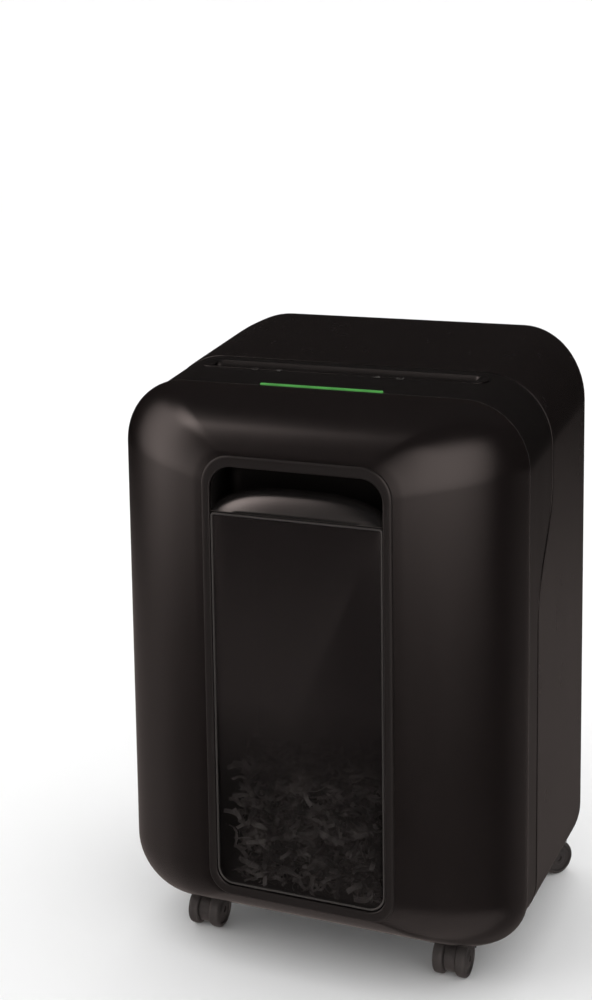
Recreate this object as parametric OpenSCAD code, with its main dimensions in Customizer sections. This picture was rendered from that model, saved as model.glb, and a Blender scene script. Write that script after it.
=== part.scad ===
// Floor-standing paper shredder on four swivel casters, with a pull-out bin whose whole front is the
// pillow-shaped gloss cover. Millimetres, +Z up, front towards -Y, origin at the middle of the floor
// outline. The cutter head sits above the bin: two hexagonal shafts of cutter discs, geared to a motor.

/* [Cabinet] */
// Width across the sides
body_w = 340; // [336:2:360]
// Depth from the face of the bin window to the back
body_d = 280; // [278:1:290]
// Height of the top surface at its front edge
front_top = 470; // [468:1:480]
// Rise of the top surface towards the back, in degrees
top_slope = 7.3; // [6:0.1:9]
// Height of the underside above the floor
floor_gap = 34; // [34:0.5:38]
// Radius of the long top corners
top_r = 56; // [50:1:60]
// Radius of the long bottom corners
bottom_r = 46; // [42:1:50]
// Radius of the upright back corners
back_r = 60; // [50:1:70]
// Thickness of the moulded shells
wall = 3; // [2.5:0.5:3]

/* [Front cover] */
// How far the cover swells ahead of its rim
bulge = 54; // [50:1:56]
// Half width of the opening for window and handle
opening_half_w = 71.5; // [70:0.5:74]
// Height of the top of the handle pocket
pocket_top = 415; // [412:1:418]
// Height of the top edge of the window
window_top = 376; // [370:1:378]
// Height of the bottom edge of the window
window_bottom = 74; // [72:1:80]
// Half width of the raised frame round the opening
frame_half_w = 79; // [77:1:84]
// Gap between the cover and the cabinet
cover_gap = 1.5; // [1:0.5:2]

/* [Paper slot] */
// Length of the paper throat
throat_w = 230; // [226:2:232]
// Width of the paper throat
throat_gap = 9; // [7:0.5:10]
// Distance of the throat behind the rim of the cover
throat_back = 48.5; // [46:0.5:50]
// Half length of the indicator light
light_half_w = 52; // [40:1:60]

/* [Cutter head] */
// Distance between the two cutter shafts
shaft_gap = 34; // [34:0.5:35]
// Height of the cutter shafts
shaft_z = 422; // [421:0.5:424]
// Radius of a cutter disc
disc_r = 20; // [19:0.5:20]
// Thickness of a cutter disc
disc_t = 4.4; // [4:0.1:4.6]
// Distance from one disc to the next on a shaft
disc_pitch = 10; // [10:0.1:10.2]

/* [Casters] */
// Radius of a caster wheel
wheel_r = 15; // [14:0.5:15]
// Width of one of the twin wheels
wheel_w = 9; // [8:0.5:10]
// Distance of the wheel axle from the swivel stem
trail = 13; // [12:0.5:14]

/* [Hidden] */
$fn = 64;

half_w = body_w / 2;
back_y = body_d / 2;
rim_y = bulge - back_y;
far = 800;
slot_y = rim_y + throat_back;
throat_half_w = throat_w / 2;
console_front = rim_y + cover_gap;

// The seam between console band and rear shell, as distances behind the rim of the cover
seam_top_back = 68;
seam_leg_back = 26;
seam_bend_low = 300;
seam_bend_high = 390;

// Edge rounding where the top and the underside meet the back
back_top_r = 26;
back_bottom_r = 14;

// Floor of the cutter head, and the frame plates that stand on it
tray_z = 380;
tray_t = 3;
plate_x = 118;
plate_t = 4;
plate_top = 456;
front_shaft_y = slot_y - shaft_gap / 2;
rear_shaft_y = slot_y + shaft_gap / 2;
shaft_r = 8;
hex_r = 10;
spacer_r = 13;
bush_r = 11;
run_gap = 0.05;
disc_count = 23;

// Gears: module of the slow stage, of the fast stage and of the pair that keeps the shafts in step
slow_module = 1.5;
fast_module = 1;
sync_teeth = 17;
sync_module = shaft_gap / sync_teeth;
drive_teeth = 48;
idler_small_teeth = 14;
idler_big_teeth = 50;
pinion_teeth = 14;
idler_y = rear_shaft_y + slow_module * (drive_teeth + idler_small_teeth) / 2;
motor_y = idler_y + fast_module * (idler_big_teeth + pinion_teeth) / 2;
slow_gear_x = -136;
slow_gear_w = 10;
fast_gear_x = -146;
fast_gear_w = 7;
sync_gear_x = 124;
sync_gear_w = 10;
idler_axle_r = 4;
motor_shaft_r = 3;
motor_r = 34;

// Bin
tub_half_w = 151;
tub_bottom = 52;
tub_top = 372;
tub_front = rim_y + 6;
tub_back = rim_y + 203;
tub_wall = 2.5;
tub_corner_r = 30;
tub_edge_r = 2;
duct_wall = 3;
duct_half_w = 76;
duct_bottom = 66;

// Casters: stem places and the direction in which each one trails, in degrees from +X
stem_r = 4;
stem_top = 49;
boss_r = 10;
caster_front_x = 108;
caster_front_y = rim_y + 18;
caster_rear_x = 127;
caster_rear_y = rim_y + 195;
front_trail_angle = -90;
rear_trail_angle = 52;
web_w = 9;
wheel_gap = 0.4;
axle_r = 2.5;
wheel_play = 0.15;

// ---------- outlines and forms ----------

// Height of the top surface at a distance y along the cabinet
function top_z(y) = front_top + tan(top_slope) * (y - rim_y);

// Straight mix of two numbers
function mix(a, b, t) = a + (b - a) * t;

// Points of an upright outline, x by z, with one radius for the top corners and one for the bottom ones
function outline(hw, low, high, r_high, r_low, steps = 8) =
    let (corners = [[1, -1, r_low, -90], [1, 1, r_high, 0], [-1, 1, r_high, 90], [-1, -1, r_low, 180]])
    [for (c = corners, i = [0:steps])
        let (a = c[3] + 90 * i / steps, z = c[1] > 0 ? high - c[2] : low + c[2])
        [c[0] * (hw - c[2]) + c[2] * cos(a), z + c[2] * sin(a)]];

// The same outline set at a depth y
function ring(y, hw, low, high, r_high, r_low) =
    [for (p = outline(hw, low, high, r_high, r_low)) [p[0], y, p[1]]];

// A flat profile drawn in x and z, standing across the cabinet from y0 to y1
module across(y0, y1) {
    translate([0, y1, 0]) rotate([90, 0, 0]) linear_extrude(y1 - y0) children();
}

// A flat profile drawn in y and z, running along X from x0 to x1
module along(x0, x1) {
    translate([x0, 0, 0]) rotate([90, 0, 90]) linear_extrude(x1 - x0) children();
}

// A rod along X, placed in y and z
module rod(x0, x1, y, z, r) {
    translate([x0, y, z]) rotate([0, 90, 0]) cylinder(h = x1 - x0, r = r);
}

// Upright rounded rectangle with corner radii of its own at top and bottom, made of squares and circles
module upright_plate(hw, low, high, r_high, r_low) {
    translate([-hw, low + r_low]) square([2 * hw, high - r_high - low - r_low]);
    translate([r_high - hw, low + r_low]) square([2 * (hw - r_high), high - low - r_low]);
    translate([r_low - hw, low]) square([2 * (hw - r_low), high - r_high - low]);
    for (s = [-1, 1]) {
        translate([s * (hw - r_high), high - r_high]) circle(r_high);
        translate([s * (hw - r_low), low + r_low]) circle(r_low);
    }
}

// Prism that rounds the long top corners and slopes with the top surface
module top_prism(inset) {
    translate([0, rim_y, front_top]) rotate([top_slope, 0, 0]) translate([0, 0, -inset])
        across(-far / 2, far / 2) upright_plate(half_w - inset, -far, 0, top_r - inset, 10);
}

// Level prism that rounds the long bottom corners
module bottom_prism(inset) {
    across(-far / 2, far / 2)
        upright_plate(half_w - inset, floor_gap + inset, far, 10, bottom_r - inset);
}

// Upright prism that rounds the back corners
module plan_prism(inset) {
    r = back_r - inset;
    linear_extrude(far) {
        translate([inset - half_w, -far / 2]) square([2 * (half_w - inset), far / 2 + back_y - back_r]);
        translate([r + inset - half_w, -far / 2])
            square([2 * (half_w - inset - r), far / 2 + back_y - inset]);
        for (s = [-1, 1]) translate([s * (half_w - back_r), back_y - back_r]) circle(r);
    }
}

// Prism that rounds the top and bottom edges of the back
module side_prism(inset) {
    rt = back_top_r - inset;
    rb = back_bottom_r - inset;
    cy = back_y - back_top_r;
    cz = top_z(cy) - back_top_r / cos(top_slope);
    by = back_y - back_bottom_r;
    bz = floor_gap + back_bottom_r;
    along(-far / 2, far / 2) {
        polygon([
            [-far / 2, bz - rb], [by, bz - rb], [by, bz], [by + rb, bz], [cy + rt, cz], [cy, cz],
            [cy - rt * sin(top_slope), cz + rt * cos(top_slope)],
            [-far / 2, top_z(-far / 2) - inset / cos(top_slope)]
        ]);
        translate([cy, cz]) circle(rt);
        translate([by, bz]) circle(rb);
    }
}

// The cabinet's outer form, or its inside when inset is the wall
module cabinet_form(inset) {
    intersection() {
        plan_prism(inset);
        bottom_prism(inset);
        top_prism(inset);
        side_prism(inset);
    }
}

// Side view of everything ahead of the seam, from y0 back to the seam
module band_profile(y0) {
    steps = 12;
    polygon(concat(
        [[y0, 0], [rim_y + seam_leg_back, 0]],
        [for (i = [0:steps])
            let (u = i / steps, s = u * u * (3 - 2 * u))
            [rim_y + mix(seam_leg_back, seam_top_back, s), mix(seam_bend_low, seam_bend_high, u)]],
        [[rim_y + seam_top_back, far], [y0, far]]
    ));
}

module shell_band() {
    difference() {
        cabinet_form(0);
        cabinet_form(wall);
    }
}

// Holes under the casters and for the bosses of the base plate
module boss_holes(r) {
    for (s = [-1, 1]) {
        translate([s * caster_front_x, caster_front_y, floor_gap - 1]) cylinder(h = wall + 2, r = r);
        translate([s * caster_rear_x, caster_rear_y, floor_gap - 1]) cylinder(h = wall + 20, r = r);
    }
}

// ---------- cabinet ----------

// Deep at the top, where it carries the slot, and narrow down the sides
module console_band() color([0.07, 0.065, 0.06]) {
    difference() {
        intersection() {
            shell_band();
            along(-far / 2, far / 2) band_profile(console_front);
        }
        boss_holes(boss_r);
        funnel_seat();
    }
}

module rear_shell() color([0.06, 0.055, 0.05]) {
    difference() {
        shell_band();
        along(-far / 2, far / 2) band_profile(-far / 2);
        boss_holes(boss_r);
        vent_block(0, wall + 2);
        inlet_hole(0);
        screw_places() translate([0, 0, -2]) cylinder(h = 4, r = screw_head_r);
        screw_holes();
    }
}

// Inner floor plate with the bosses that take the caster stems
module base_plate() color([0.12, 0.12, 0.12]) {
    z0 = floor_gap + wall;
    difference() {
        union() {
            translate([0, 0, z0]) linear_extrude(4) {
                translate([-120, rim_y + 6]) square([240, 200]);
            }
            for (s = [-1, 1]) {
                translate([s * caster_front_x, caster_front_y, floor_gap]) cylinder(h = 15, r = boss_r);
                translate([s * caster_rear_x, caster_rear_y, floor_gap]) cylinder(h = 15, r = boss_r);
                translate([s * (caster_rear_x - 14), caster_rear_y, z0 + 2]) cube([24, 12, 4], center = true);
            }
        }
        for (s = [-1, 1]) {
            translate([s * caster_front_x, caster_front_y, 0]) cylinder(h = far, r = stem_r + run_gap);
            translate([s * caster_rear_x, caster_rear_y, 0]) cylinder(h = far, r = stem_r + run_gap);
        }
    }
}

// Places something on the sloping top, at a distance behind the rim
module on_top(back) {
    translate([0, rim_y, front_top]) rotate([top_slope, 0, 0]) translate([0, back, 0]) children();
}

funnel_half_w = 124;
funnel_half_d = 11;
funnel_t = 6;

// Long plate with round ends, drawn flat
module stadium(hw, hd) {
    square([2 * (hw - hd), 2 * hd], center = true);
    for (s = [-1, 1]) translate([s * (hw - hd), 0]) circle(hd);
}

module funnel_seat() {
    on_top(throat_back) translate([0, 0, -wall - 2]) linear_extrude(wall + 4)
        stadium(funnel_half_w, funnel_half_d);
}

// Flared mouth of the paper throat, let into the console
module slot_funnel() color([0.04, 0.04, 0.04]) {
    flare = 4;
    on_top(throat_back) difference() {
        translate([0, 0, -funnel_t]) linear_extrude(funnel_t) stadium(funnel_half_w, funnel_half_d);
        rotate([-top_slope, 0, 0]) translate([-throat_half_w, -throat_gap / 2, -20])
            cube([throat_w, throat_gap, 40]);
        along(-throat_half_w, throat_half_w) polygon([
            [-throat_gap / 2, -funnel_t + 1], [throat_gap / 2, -funnel_t + 1],
            [throat_gap / 2 + flare, 1], [-throat_gap / 2 - flare, 1]
        ]);
    }
}

// Green indicator in the front edge of the console
module light_strip() color([0.2, 0.75, 0.2]) {
    on_top(cover_gap) translate([-light_half_w, 0, 0]) cube([2 * light_half_w, 2.6, 0.6]);
}

// Flat touch marks on the console: standby, reverse, and two indicators
module touch_icons() color([0.6, 0.6, 0.6]) {
    icon_t = 0.3;
    on_top(38) linear_extrude(icon_t) {
        translate([-72, 0]) difference() {
            circle(3);
            circle(2.2);
        }
        translate([-51, 0]) polygon([[-3, 0], [2, -3], [2, 3]]);
        translate([35, 0]) polygon([[-3, -2.6], [3, -2.6], [0, 2.8]]);
        translate([54, 0]) difference() {
            square([6, 5], center = true);
            square([4.4, 3.4], center = true);
        }
    }
}

// Upright sheet guides under the funnel
module guide(y0) {
    translate([-throat_half_w, y0, guide_low]) cube([throat_w, 2.5, guide_high - guide_low]);
}
guide_low = shaft_z + disc_r + 2;
guide_high = 469;
module front_guide() color([0.2, 0.2, 0.2]) guide(slot_y - throat_gap / 2 - 2.5);
module rear_guide() color([0.2, 0.2, 0.2]) guide(slot_y + throat_gap / 2);

// Light gate that starts the cutters, behind the rear guide
module sheet_sensor() color([0.1, 0.3, 0.15]) {
    translate([-12, slot_y + throat_gap / 2 + 2.5, guide_low + 6]) cube([24, 8, 10]);
}

// Floor and front wall of the cutter head, with the drop opening over the bin
module head_tray() color([0.15, 0.15, 0.15]) {
    tray_front = rim_y + 3;
    tray_hw = half_w - wall;
    corner = back_r - wall;
    difference() {
        union() {
            translate([0, 0, tray_z]) linear_extrude(tray_t) {
                translate([-tray_hw, tray_front]) square([2 * tray_hw, back_y - back_r - tray_front]);
                translate([corner - tray_hw, tray_front])
                    square([2 * (tray_hw - corner), back_y - wall - tray_front]);
                for (s = [-1, 1]) translate([s * (tray_hw - corner), back_y - back_r]) circle(corner);
            }
            translate([-150, tray_front, tray_z]) cube([300, 3, 72]);
        }
        translate([-throat_half_w, front_shaft_y - 17, tray_z - 1]) cube([throat_w, shaft_gap + 34, 6]);
        screw_holes();
    }
}

// Frame plate with the bores of both cutter shafts
module side_plate(x0, y1) {
    difference() {
        translate([x0, rim_y + 8, tray_z + tray_t])
            cube([plate_t, y1 - rim_y - 8, plate_top - tray_z - tray_t]);
        for (y = [front_shaft_y, rear_shaft_y]) rod(x0 - 1, x0 + plate_t + 1, y, shaft_z, bush_r);
    }
}

module gear_side_plate() color([0.55, 0.56, 0.58]) {
    difference() {
        side_plate(-plate_x - plate_t, motor_y + motor_r + 4);
        rod(-plate_x - plate_t - 1, -plate_x + 1, motor_y, shaft_z, motor_shaft_r + 2);
        rod(-plate_x - plate_t - 1, -plate_x + 1, idler_y, shaft_z, idler_axle_r);
    }
}

module plain_side_plate() color([0.55, 0.56, 0.58]) side_plate(plate_x, rear_shaft_y + 26);

// Three rods that hold the side plates apart
module tie_rods() color([0.6, 0.6, 0.62]) {
    for (p = [[slot_y - 31, shaft_z + 26], [slot_y + 31, shaft_z + 26], [slot_y, shaft_z - 29]])
        rod(-plate_x, plate_x, p[0], p[1], 4);
}

module shaft_bushes() color([0.7, 0.5, 0.25]) {
    for (x0 = [-plate_x - plate_t, plate_x], y = [front_shaft_y, rear_shaft_y])
        difference() {
            rod(x0, x0 + plate_t, y, shaft_z, bush_r);
            rod(x0 - 1, x0 + plate_t + 1, y, shaft_z, shaft_r + run_gap);
        }
}

// Middle of disc i on a shaft, where side is -1 for the front shaft and 1 for the rear one
function disc_x(i, side) = (i - (disc_count - 1) / 2) * disc_pitch + side * disc_pitch / 4;

// Bar with a finger between each pair of discs, which strips shreds from the shaft
module comb(bar_y0, finger_y0, finger_len, side) {
    translate([-plate_x, bar_y0, shaft_z - 12]) cube([2 * plate_x, 4, 24]);
    for (i = [0:disc_count - 2])
        translate([disc_x(i, side) + disc_pitch / 2 - 2, finger_y0, shaft_z - 8])
            cube([4, finger_len, 16]);
}

module front_comb() color([0.3, 0.3, 0.32]) {
    bar = front_shaft_y - disc_r - 5.5;
    comb(bar, bar + 4, 6, -1);
}

module rear_comb() color([0.3, 0.3, 0.32]) {
    bar = rear_shaft_y + disc_r + 1.5;
    comb(bar, bar - 6, 6, 1);
}

module idler_axle() color([0.6, 0.6, 0.62]) {
    rod(fast_gear_x - 3, -plate_x, idler_y, shaft_z, idler_axle_r);
    rod(fast_gear_x - 5, fast_gear_x - 3, idler_y, shaft_z, 6);
}

// Motor can with its end bell and two mounting ears
module motor_case() color([0.35, 0.36, 0.38]) {
    difference() {
        union() {
            rod(-plate_x, -22, motor_y, shaft_z, motor_r);
            rod(-22, -10, motor_y, shaft_z, motor_r - 12);
        }
        rod(-plate_x - 1, -30, motor_y, shaft_z, motor_shaft_r + run_gap);
    }
}

module control_board() color([0.05, 0.3, 0.12]) {
    board_y = rim_y + 100;
    translate([20, board_y, tray_z + tray_t]) cube([90, 70, 1.6]);
    translate([30, board_y + 10, tray_z + tray_t + 1.6]) cube([22, 16, 18]);
    translate([62, board_y + 12, tray_z + tray_t + 1.6]) cube([16, 30, 12]);
    translate([86, board_y + 40, tray_z + tray_t + 1.6]) cylinder(h = 20, r = 7);
}

// Microswitch under the head floor, pressed by the tab on the bin
module bin_switch() color([0.1, 0.1, 0.1]) {
    translate([132, tub_front + 12, tray_z - 7.5]) cube([20, 8, 7.5]);
}

// Where the power cord enters low on the back
inlet_x = -90;
inlet_z = 80;
inlet_r = 9;
module inlet_hole(gap) {
    translate([inlet_x, back_y + 1, inlet_z]) rotate([90, 0, 0]) cylinder(h = wall + 2, r = inlet_r + gap);
}

module cord_inlet() color([0.03, 0.03, 0.03]) {
    translate([inlet_x, back_y, inlet_z]) rotate([90, 0, 0]) difference() {
        union() {
            cylinder(h = wall, r = inlet_r);
            translate([0, 0, wall]) cylinder(h = 3, r = inlet_r + 3);
        }
        translate([0, 0, -1]) cylinder(h = 10, r = 3.6);
    }
}

vent_half_w = 62;
vent_low = 396;
vent_high = 440;
module vent_block(inset, depth) {
    translate([inset - vent_half_w, back_y + 1 - depth, vent_low + inset])
        cube([2 * (vent_half_w - inset), depth, vent_high - vent_low - 2 * inset]);
}

// Cooling grille let into the back, behind the motor
module vent_grille() color([0.05, 0.05, 0.05]) {
    slots = 9;
    slot_w = 6;
    pitch = 2 * (vent_half_w - 6) / slots;
    difference() {
        translate([-vent_half_w, back_y - wall, vent_low])
            cube([2 * vent_half_w, wall, vent_high - vent_low]);
        for (i = [0:slots - 1])
            translate([6 - vent_half_w + pitch * (i + 0.5) - slot_w / 2, back_y - wall - 1, vent_low + 6])
                cube([slot_w, wall + 2, vent_high - vent_low - 12]);
    }
}

module runner(x) {
    translate([x - 6, rim_y + 34, floor_gap + wall + 4]) cube([12, 160, tub_bottom - floor_gap - wall - 4.3]);
}
module left_runner() color([0.75, 0.75, 0.72]) runner(-80);
module right_runner() color([0.75, 0.75, 0.72]) runner(80);

// Heads of the screws that close the back
screw_r = 1.5;
screw_head_r = 3.5;
module screw_places() {
    for (x = [-100, 100], z = [110, 380])
        translate([x, back_y, z]) rotate([-90, 0, 0]) children();
}

// Bores that the shanks of the shell screws run in
module screw_holes() {
    screw_places() translate([0, 0, -13]) cylinder(h = 14, r = screw_r + run_gap);
}

module shell_screws() color([0.3, 0.3, 0.3]) {
    screw_places() translate([0, 0, -12]) difference() {
        union() {
            cylinder(h = 10, r = screw_r);
            translate([0, 0, 10]) cylinder(h = 1.6, r = screw_head_r);
        }
        translate([0, 0, 10.8]) {
            cube([4, 0.8, 2], center = true);
            cube([0.8, 4, 2], center = true);
        }
    }
}

// ---------- bin ----------

rim_r_high = 52;
rim_r_low = 44;
frame_low = window_bottom - 11;
frame_high = pocket_top + 9;
frame_r_high = 24;
frame_r_low = 20;
opening_low = window_bottom - 3;
opening_r_high = 18;
opening_r_low = 14;
cover_t = 3;
pocket_wall = 3;
swell_flare = 1.22;
swell_roundness = 1.75;

// One ring of the cover's swell: turn 0 is at the raised frame and 90 at the rim. The sides slope
// away from the frame almost straight and round off into the rim.
function swell_ring(turn, inset) =
    let (s = sin(turn), y = rim_y - (bulge - inset) * pow(1 - pow(s, swell_flare), 1 / swell_roundness))
    ring(y,
        mix(frame_half_w, half_w, s) - inset,
        mix(frame_low, floor_gap, s) + inset,
        mix(frame_high, front_top, s) - inset,
        mix(frame_r_high, rim_r_high, s) - inset,
        mix(frame_r_low, rim_r_low, s) - inset);

function opening_ring(y, grow) =
    ring(y, opening_half_w + grow, opening_low - grow, pocket_top + grow,
        opening_r_high + grow, opening_r_low + grow);

// Closed skin through a loop of rings with equal numbers of points
module ring_loop(rings) {
    n = len(rings[0]);
    m = len(rings);
    points = [for (r = rings, p = r) p];
    faces = [for (i = [0:m - 1], j = [0:n - 1])
        let (i2 = (i + 1) % m, j2 = (j + 1) % n)
        each [[i * n + j, i2 * n + j2, i * n + j2], [i * n + j, i2 * n + j, i2 * n + j2]]];
    polyhedron(points, faces);
}

// Pillow-shaped gloss cover: a raised frame round window and handle, swelling back to the rim
module front_cover() color([0.05, 0.045, 0.04]) {
    steps = 11;
    front = rim_y - bulge;
    ring_loop(concat(
        [opening_ring(front + cover_t + 0.5, 0), opening_ring(front + 0.5, 0), opening_ring(front, 0.8)],
        [for (i = [0:steps]) swell_ring(90 * i / steps, 0)],
        [for (i = [steps:-1:0]) swell_ring(90 * i / steps, cover_t)]
    ));
}

// Square tunnel between the window and the tub, which keeps shreds out of the cover's hollow
module window_duct() color([0.1, 0.1, 0.1]) {
    front = rim_y - bulge + cover_t + 0.5;
    high = window_top;
    difference() {
        union() {
            across(front, rim_y + 3) upright_plate(duct_half_w, duct_bottom, high, 3, 14);
            across(rim_y + 3, rim_y + 6) upright_plate(duct_half_w + 10, duct_bottom - 8, high - 5, 3, 14);
        }
        across(front - 1, rim_y + 7)
            upright_plate(duct_half_w - duct_wall, duct_bottom + duct_wall, high - duct_wall, 2, 11);
    }
}

trim_w = 1.8;
module window_outline(grow) {
    window_half_w = opening_half_w - 0.2 - trim_w;
    upright_plate(window_half_w + grow, window_bottom - grow, window_top + grow, 1, 12 + grow);
}

module bin_window() color([0.12, 0.11, 0.1, 0.6]) {
    front = rim_y - bulge;
    across(front + 0.9, front + 3.4) window_outline(0);
}

// Fine bright edging round the window
module window_trim() color([0.5, 0.5, 0.5]) {
    front = rim_y - bulge;
    difference() {
        across(front + 0.4, front + 3.4) window_outline(trim_w);
        across(front - 1, front + 5) window_outline(0.1);
    }
}

// Recess above the window that the fingers reach into
module handle_pocket() color([0.02, 0.02, 0.02]) {
    front = rim_y - bulge + cover_t + 0.5;
    back = rim_y - 8;
    low = window_top + 0.5;
    difference() {
        across(front, back) upright_plate(opening_half_w + pocket_wall, low, pocket_top + pocket_wall,
            opening_r_high + pocket_wall, pocket_wall);
        across(front - 1, back - pocket_wall)
            upright_plate(opening_half_w, low + pocket_wall, pocket_top, opening_r_high, 2);
    }
}

// Gloss lip that the fingers hook over: a steep ramp that rises away from the window, with an arched
// crest, standing on the floor of the recess
module handle_lip() color([0.06, 0.055, 0.05]) {
    front = rim_y - bulge + 0.6;
    low = window_top + trim_w + 0.5;
    seat = window_top + 0.5 + pocket_wall;
    crest_h = 17.5;
    crest_r = 160;
    intersection() {
        along(-opening_half_w + 0.3, opening_half_w - 0.3) difference() {
            polygon([[front, low], [front + 20, low], [front + 20, low + crest_h], [front + 16, low + crest_h],
                [front + 5, low + 11], [front, low + 1]]);
            translate([front + 2.9, low - 1]) square([30, seat - low + 1]);
            polygon([[front + 6, seat - 1], [front + 17, seat - 1], [front + 17, low + 13]]);
        }
        across(front - 1, front + 30) intersection() {
            translate([-opening_half_w, low]) square([2 * opening_half_w, crest_h]);
            translate([0, low + crest_h - crest_r]) circle(crest_r, $fn = 180);
        }
    }
}

// Trough of the tub: floor and two sides with round corners between them
module bin_tub() color([0.09, 0.09, 0.09]) {
    across(tub_front + tub_wall, tub_back - tub_wall) difference() {
        upright_plate(tub_half_w, tub_bottom, tub_top, tub_edge_r, tub_corner_r);
        upright_plate(tub_half_w - tub_wall, tub_bottom + tub_wall, tub_top + 20, tub_edge_r,
            tub_corner_r - tub_wall);
    }
}

// Front wall of the tub, open to the window duct
module tub_front_wall() color([0.09, 0.09, 0.09]) {
    across(tub_front, tub_front + tub_wall) difference() {
        upright_plate(tub_half_w, tub_bottom, tub_top, tub_edge_r, tub_corner_r);
        upright_plate(duct_half_w - duct_wall, duct_bottom + duct_wall, window_top - duct_wall - 4, 2, 11);
    }
}

module tub_back_wall() color([0.09, 0.09, 0.09]) {
    across(tub_back - tub_wall, tub_back)
        upright_plate(tub_half_w, tub_bottom, tub_top, tub_edge_r, tub_corner_r);
}

// Screws that hold the duct's flange to the tub
module bin_screws() color([0.5, 0.5, 0.5]) {
    for (s = [-1, 1], z = [110, 220, 330])
        translate([s * (duct_half_w + 5), rim_y + 3, z]) rotate([90, 0, 0]) cylinder(h = 2, r = 3);
}

// Tab on the rim of the tub that presses the bin switch
module switch_tab() color([0.15, 0.15, 0.15]) {
    translate([134, tub_front, tub_top]) cube([14, 10, 1.5]);
    translate([134, tub_front + 3, tub_top]) cube([14, 7, 7.5]);
}

// ---------- cutters and gears ----------

function involute(r_base, r) = let (a = acos(min(1, r_base / r))) tan(a) * 180 / PI - a;

// Half angle of a tooth at radius r, thinned a little for running clearance
function tooth_half(teeth, m, r) =
    90 / teeth - 0.05 * m / (m * teeth / 2) * 180 / PI
    + involute(m * teeth / 2 * cos(20), m * teeth / 2)
    - involute(m * teeth / 2 * cos(20), max(r, m * teeth / 2 * cos(20)));

// Involute gear outline with one tooth at the angle given by turn
module gear_outline(teeth, m, turn) {
    tip = m * teeth / 2 + 0.85 * m;
    root = m * teeth / 2 - 1.15 * m;
    levels = 4;
    pitch = 360 / teeth;
    rotate(turn) polygon([for (i = [0:teeth - 1], side = [-1, 1], k = [0:levels])
        let (r = mix(root, tip, (side < 0 ? k : levels - k) / levels),
            a = i * pitch + side * tooth_half(teeth, m, r))
        [r * cos(a), r * sin(a)]]);
}

// Turn that meshes a gear with another one that stands at the angle direction from it
function meshed_turn(other_turn, other_teeth, teeth, direction) =
    direction + 180 - (other_turn - direction) * other_teeth / teeth + 180 / teeth;

module gear(x0, w, y, teeth, m, turn, bore) {
    difference() {
        translate([0, y, shaft_z]) along(x0, x0 + w) gear_outline(teeth, m, turn);
        rod(x0 - 1, x0 + w + 1, y, shaft_z, bore);
    }
}

// Hexagonal rod along X
module hex_rod(x0, x1, y, r) {
    translate([0, y, shaft_z]) along(x0, x1) circle(r, $fn = 6);
}

// Round ends run in the bushes and carry the gears; the discs sit on the hexagon between them
module cutter_shaft(y, left_end) {
    color([0.62, 0.63, 0.65]) {
        hex_rod(-plate_x + 0.5, plate_x - 0.5, y, hex_r);
        rod(left_end, -plate_x + 0.5, y, shaft_z, shaft_r);
        rod(plate_x - 0.5, sync_gear_x + sync_gear_w + 2, y, shaft_z, shaft_r);
    }
}

// Toothed discs, each turned a little further than the one before
module cutters(y, side) {
    notches = 4;
    color([0.5, 0.5, 0.52])
        for (i = [0:disc_count - 1])
            translate([0, y, shaft_z]) along(disc_x(i, side) - disc_t / 2, disc_x(i, side) + disc_t / 2)
                difference() {
                    circle(disc_r);
                    circle(hex_r + run_gap, $fn = 6);
                    for (k = [0:notches - 1])
                        rotate(360 * k / notches + 7 * i) translate([disc_r, 0])
                            polygon([[2, -2.5], [-2, 0], [2, 0.6]]);
                }
}

module spacers(y, side) {
    gap = disc_pitch - disc_t;
    color([0.4, 0.4, 0.42])
        for (i = [0:disc_count - 2])
            translate([0, y, shaft_z]) along(disc_x(i, side) + disc_t / 2, disc_x(i, side) + disc_t / 2 + gap)
                difference() {
                    circle(spacer_r);
                    circle(hex_r + run_gap, $fn = 6);
                }
}

front_sync_turn = 0;
rear_sync_turn = meshed_turn(front_sync_turn, sync_teeth, sync_teeth, 0);
idler_small_turn = meshed_turn(0, drive_teeth, idler_small_teeth, 0);
pinion_turn = meshed_turn(0, idler_big_teeth, pinion_teeth, 0);

module front_shaft() cutter_shaft(front_shaft_y, -plate_x - plate_t - 2);
module front_cutters() cutters(front_shaft_y, -1);
module front_spacers() spacers(front_shaft_y, -1);
module front_sync_gear() color([0.66, 0.6, 0.4])
    gear(sync_gear_x, sync_gear_w, front_shaft_y, sync_teeth, sync_module, front_sync_turn, shaft_r);
module rear_shaft() cutter_shaft(rear_shaft_y, slow_gear_x - 2);
module rear_cutters() cutters(rear_shaft_y, 1);
module rear_spacers() spacers(rear_shaft_y, 1);
module rear_sync_gear() color([0.66, 0.6, 0.4])
    gear(sync_gear_x, sync_gear_w, rear_shaft_y, sync_teeth, sync_module, rear_sync_turn, shaft_r);
module drive_gear() color([0.66, 0.6, 0.4])
    gear(slow_gear_x, slow_gear_w, rear_shaft_y, drive_teeth, slow_module, 0, shaft_r);

// Big and small gear in one piece, running on its fixed axle
module idler_gear() color([0.85, 0.85, 0.8]) {
    gear(fast_gear_x, fast_gear_w, idler_y, idler_big_teeth, fast_module, 0, idler_axle_r + run_gap);
    gear(fast_gear_x + fast_gear_w, slow_gear_x + slow_gear_w - fast_gear_x - fast_gear_w, idler_y,
        idler_small_teeth, slow_module, idler_small_turn, idler_axle_r + run_gap);
}

module motor_shaft() color([0.62, 0.63, 0.65]) rod(fast_gear_x - 1, -32, motor_y, shaft_z, motor_shaft_r);
module motor_pinion() color([0.66, 0.6, 0.4])
    gear(fast_gear_x, fast_gear_w, motor_y, pinion_teeth, fast_module, pinion_turn, motor_shaft_r);

// ---------- casters ----------

// Puts a caster on its stem, with the wheels trailing at the given angle
module caster_at(x, y, angle) {
    translate([x, y, 0]) rotate(angle) children();
}

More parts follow.
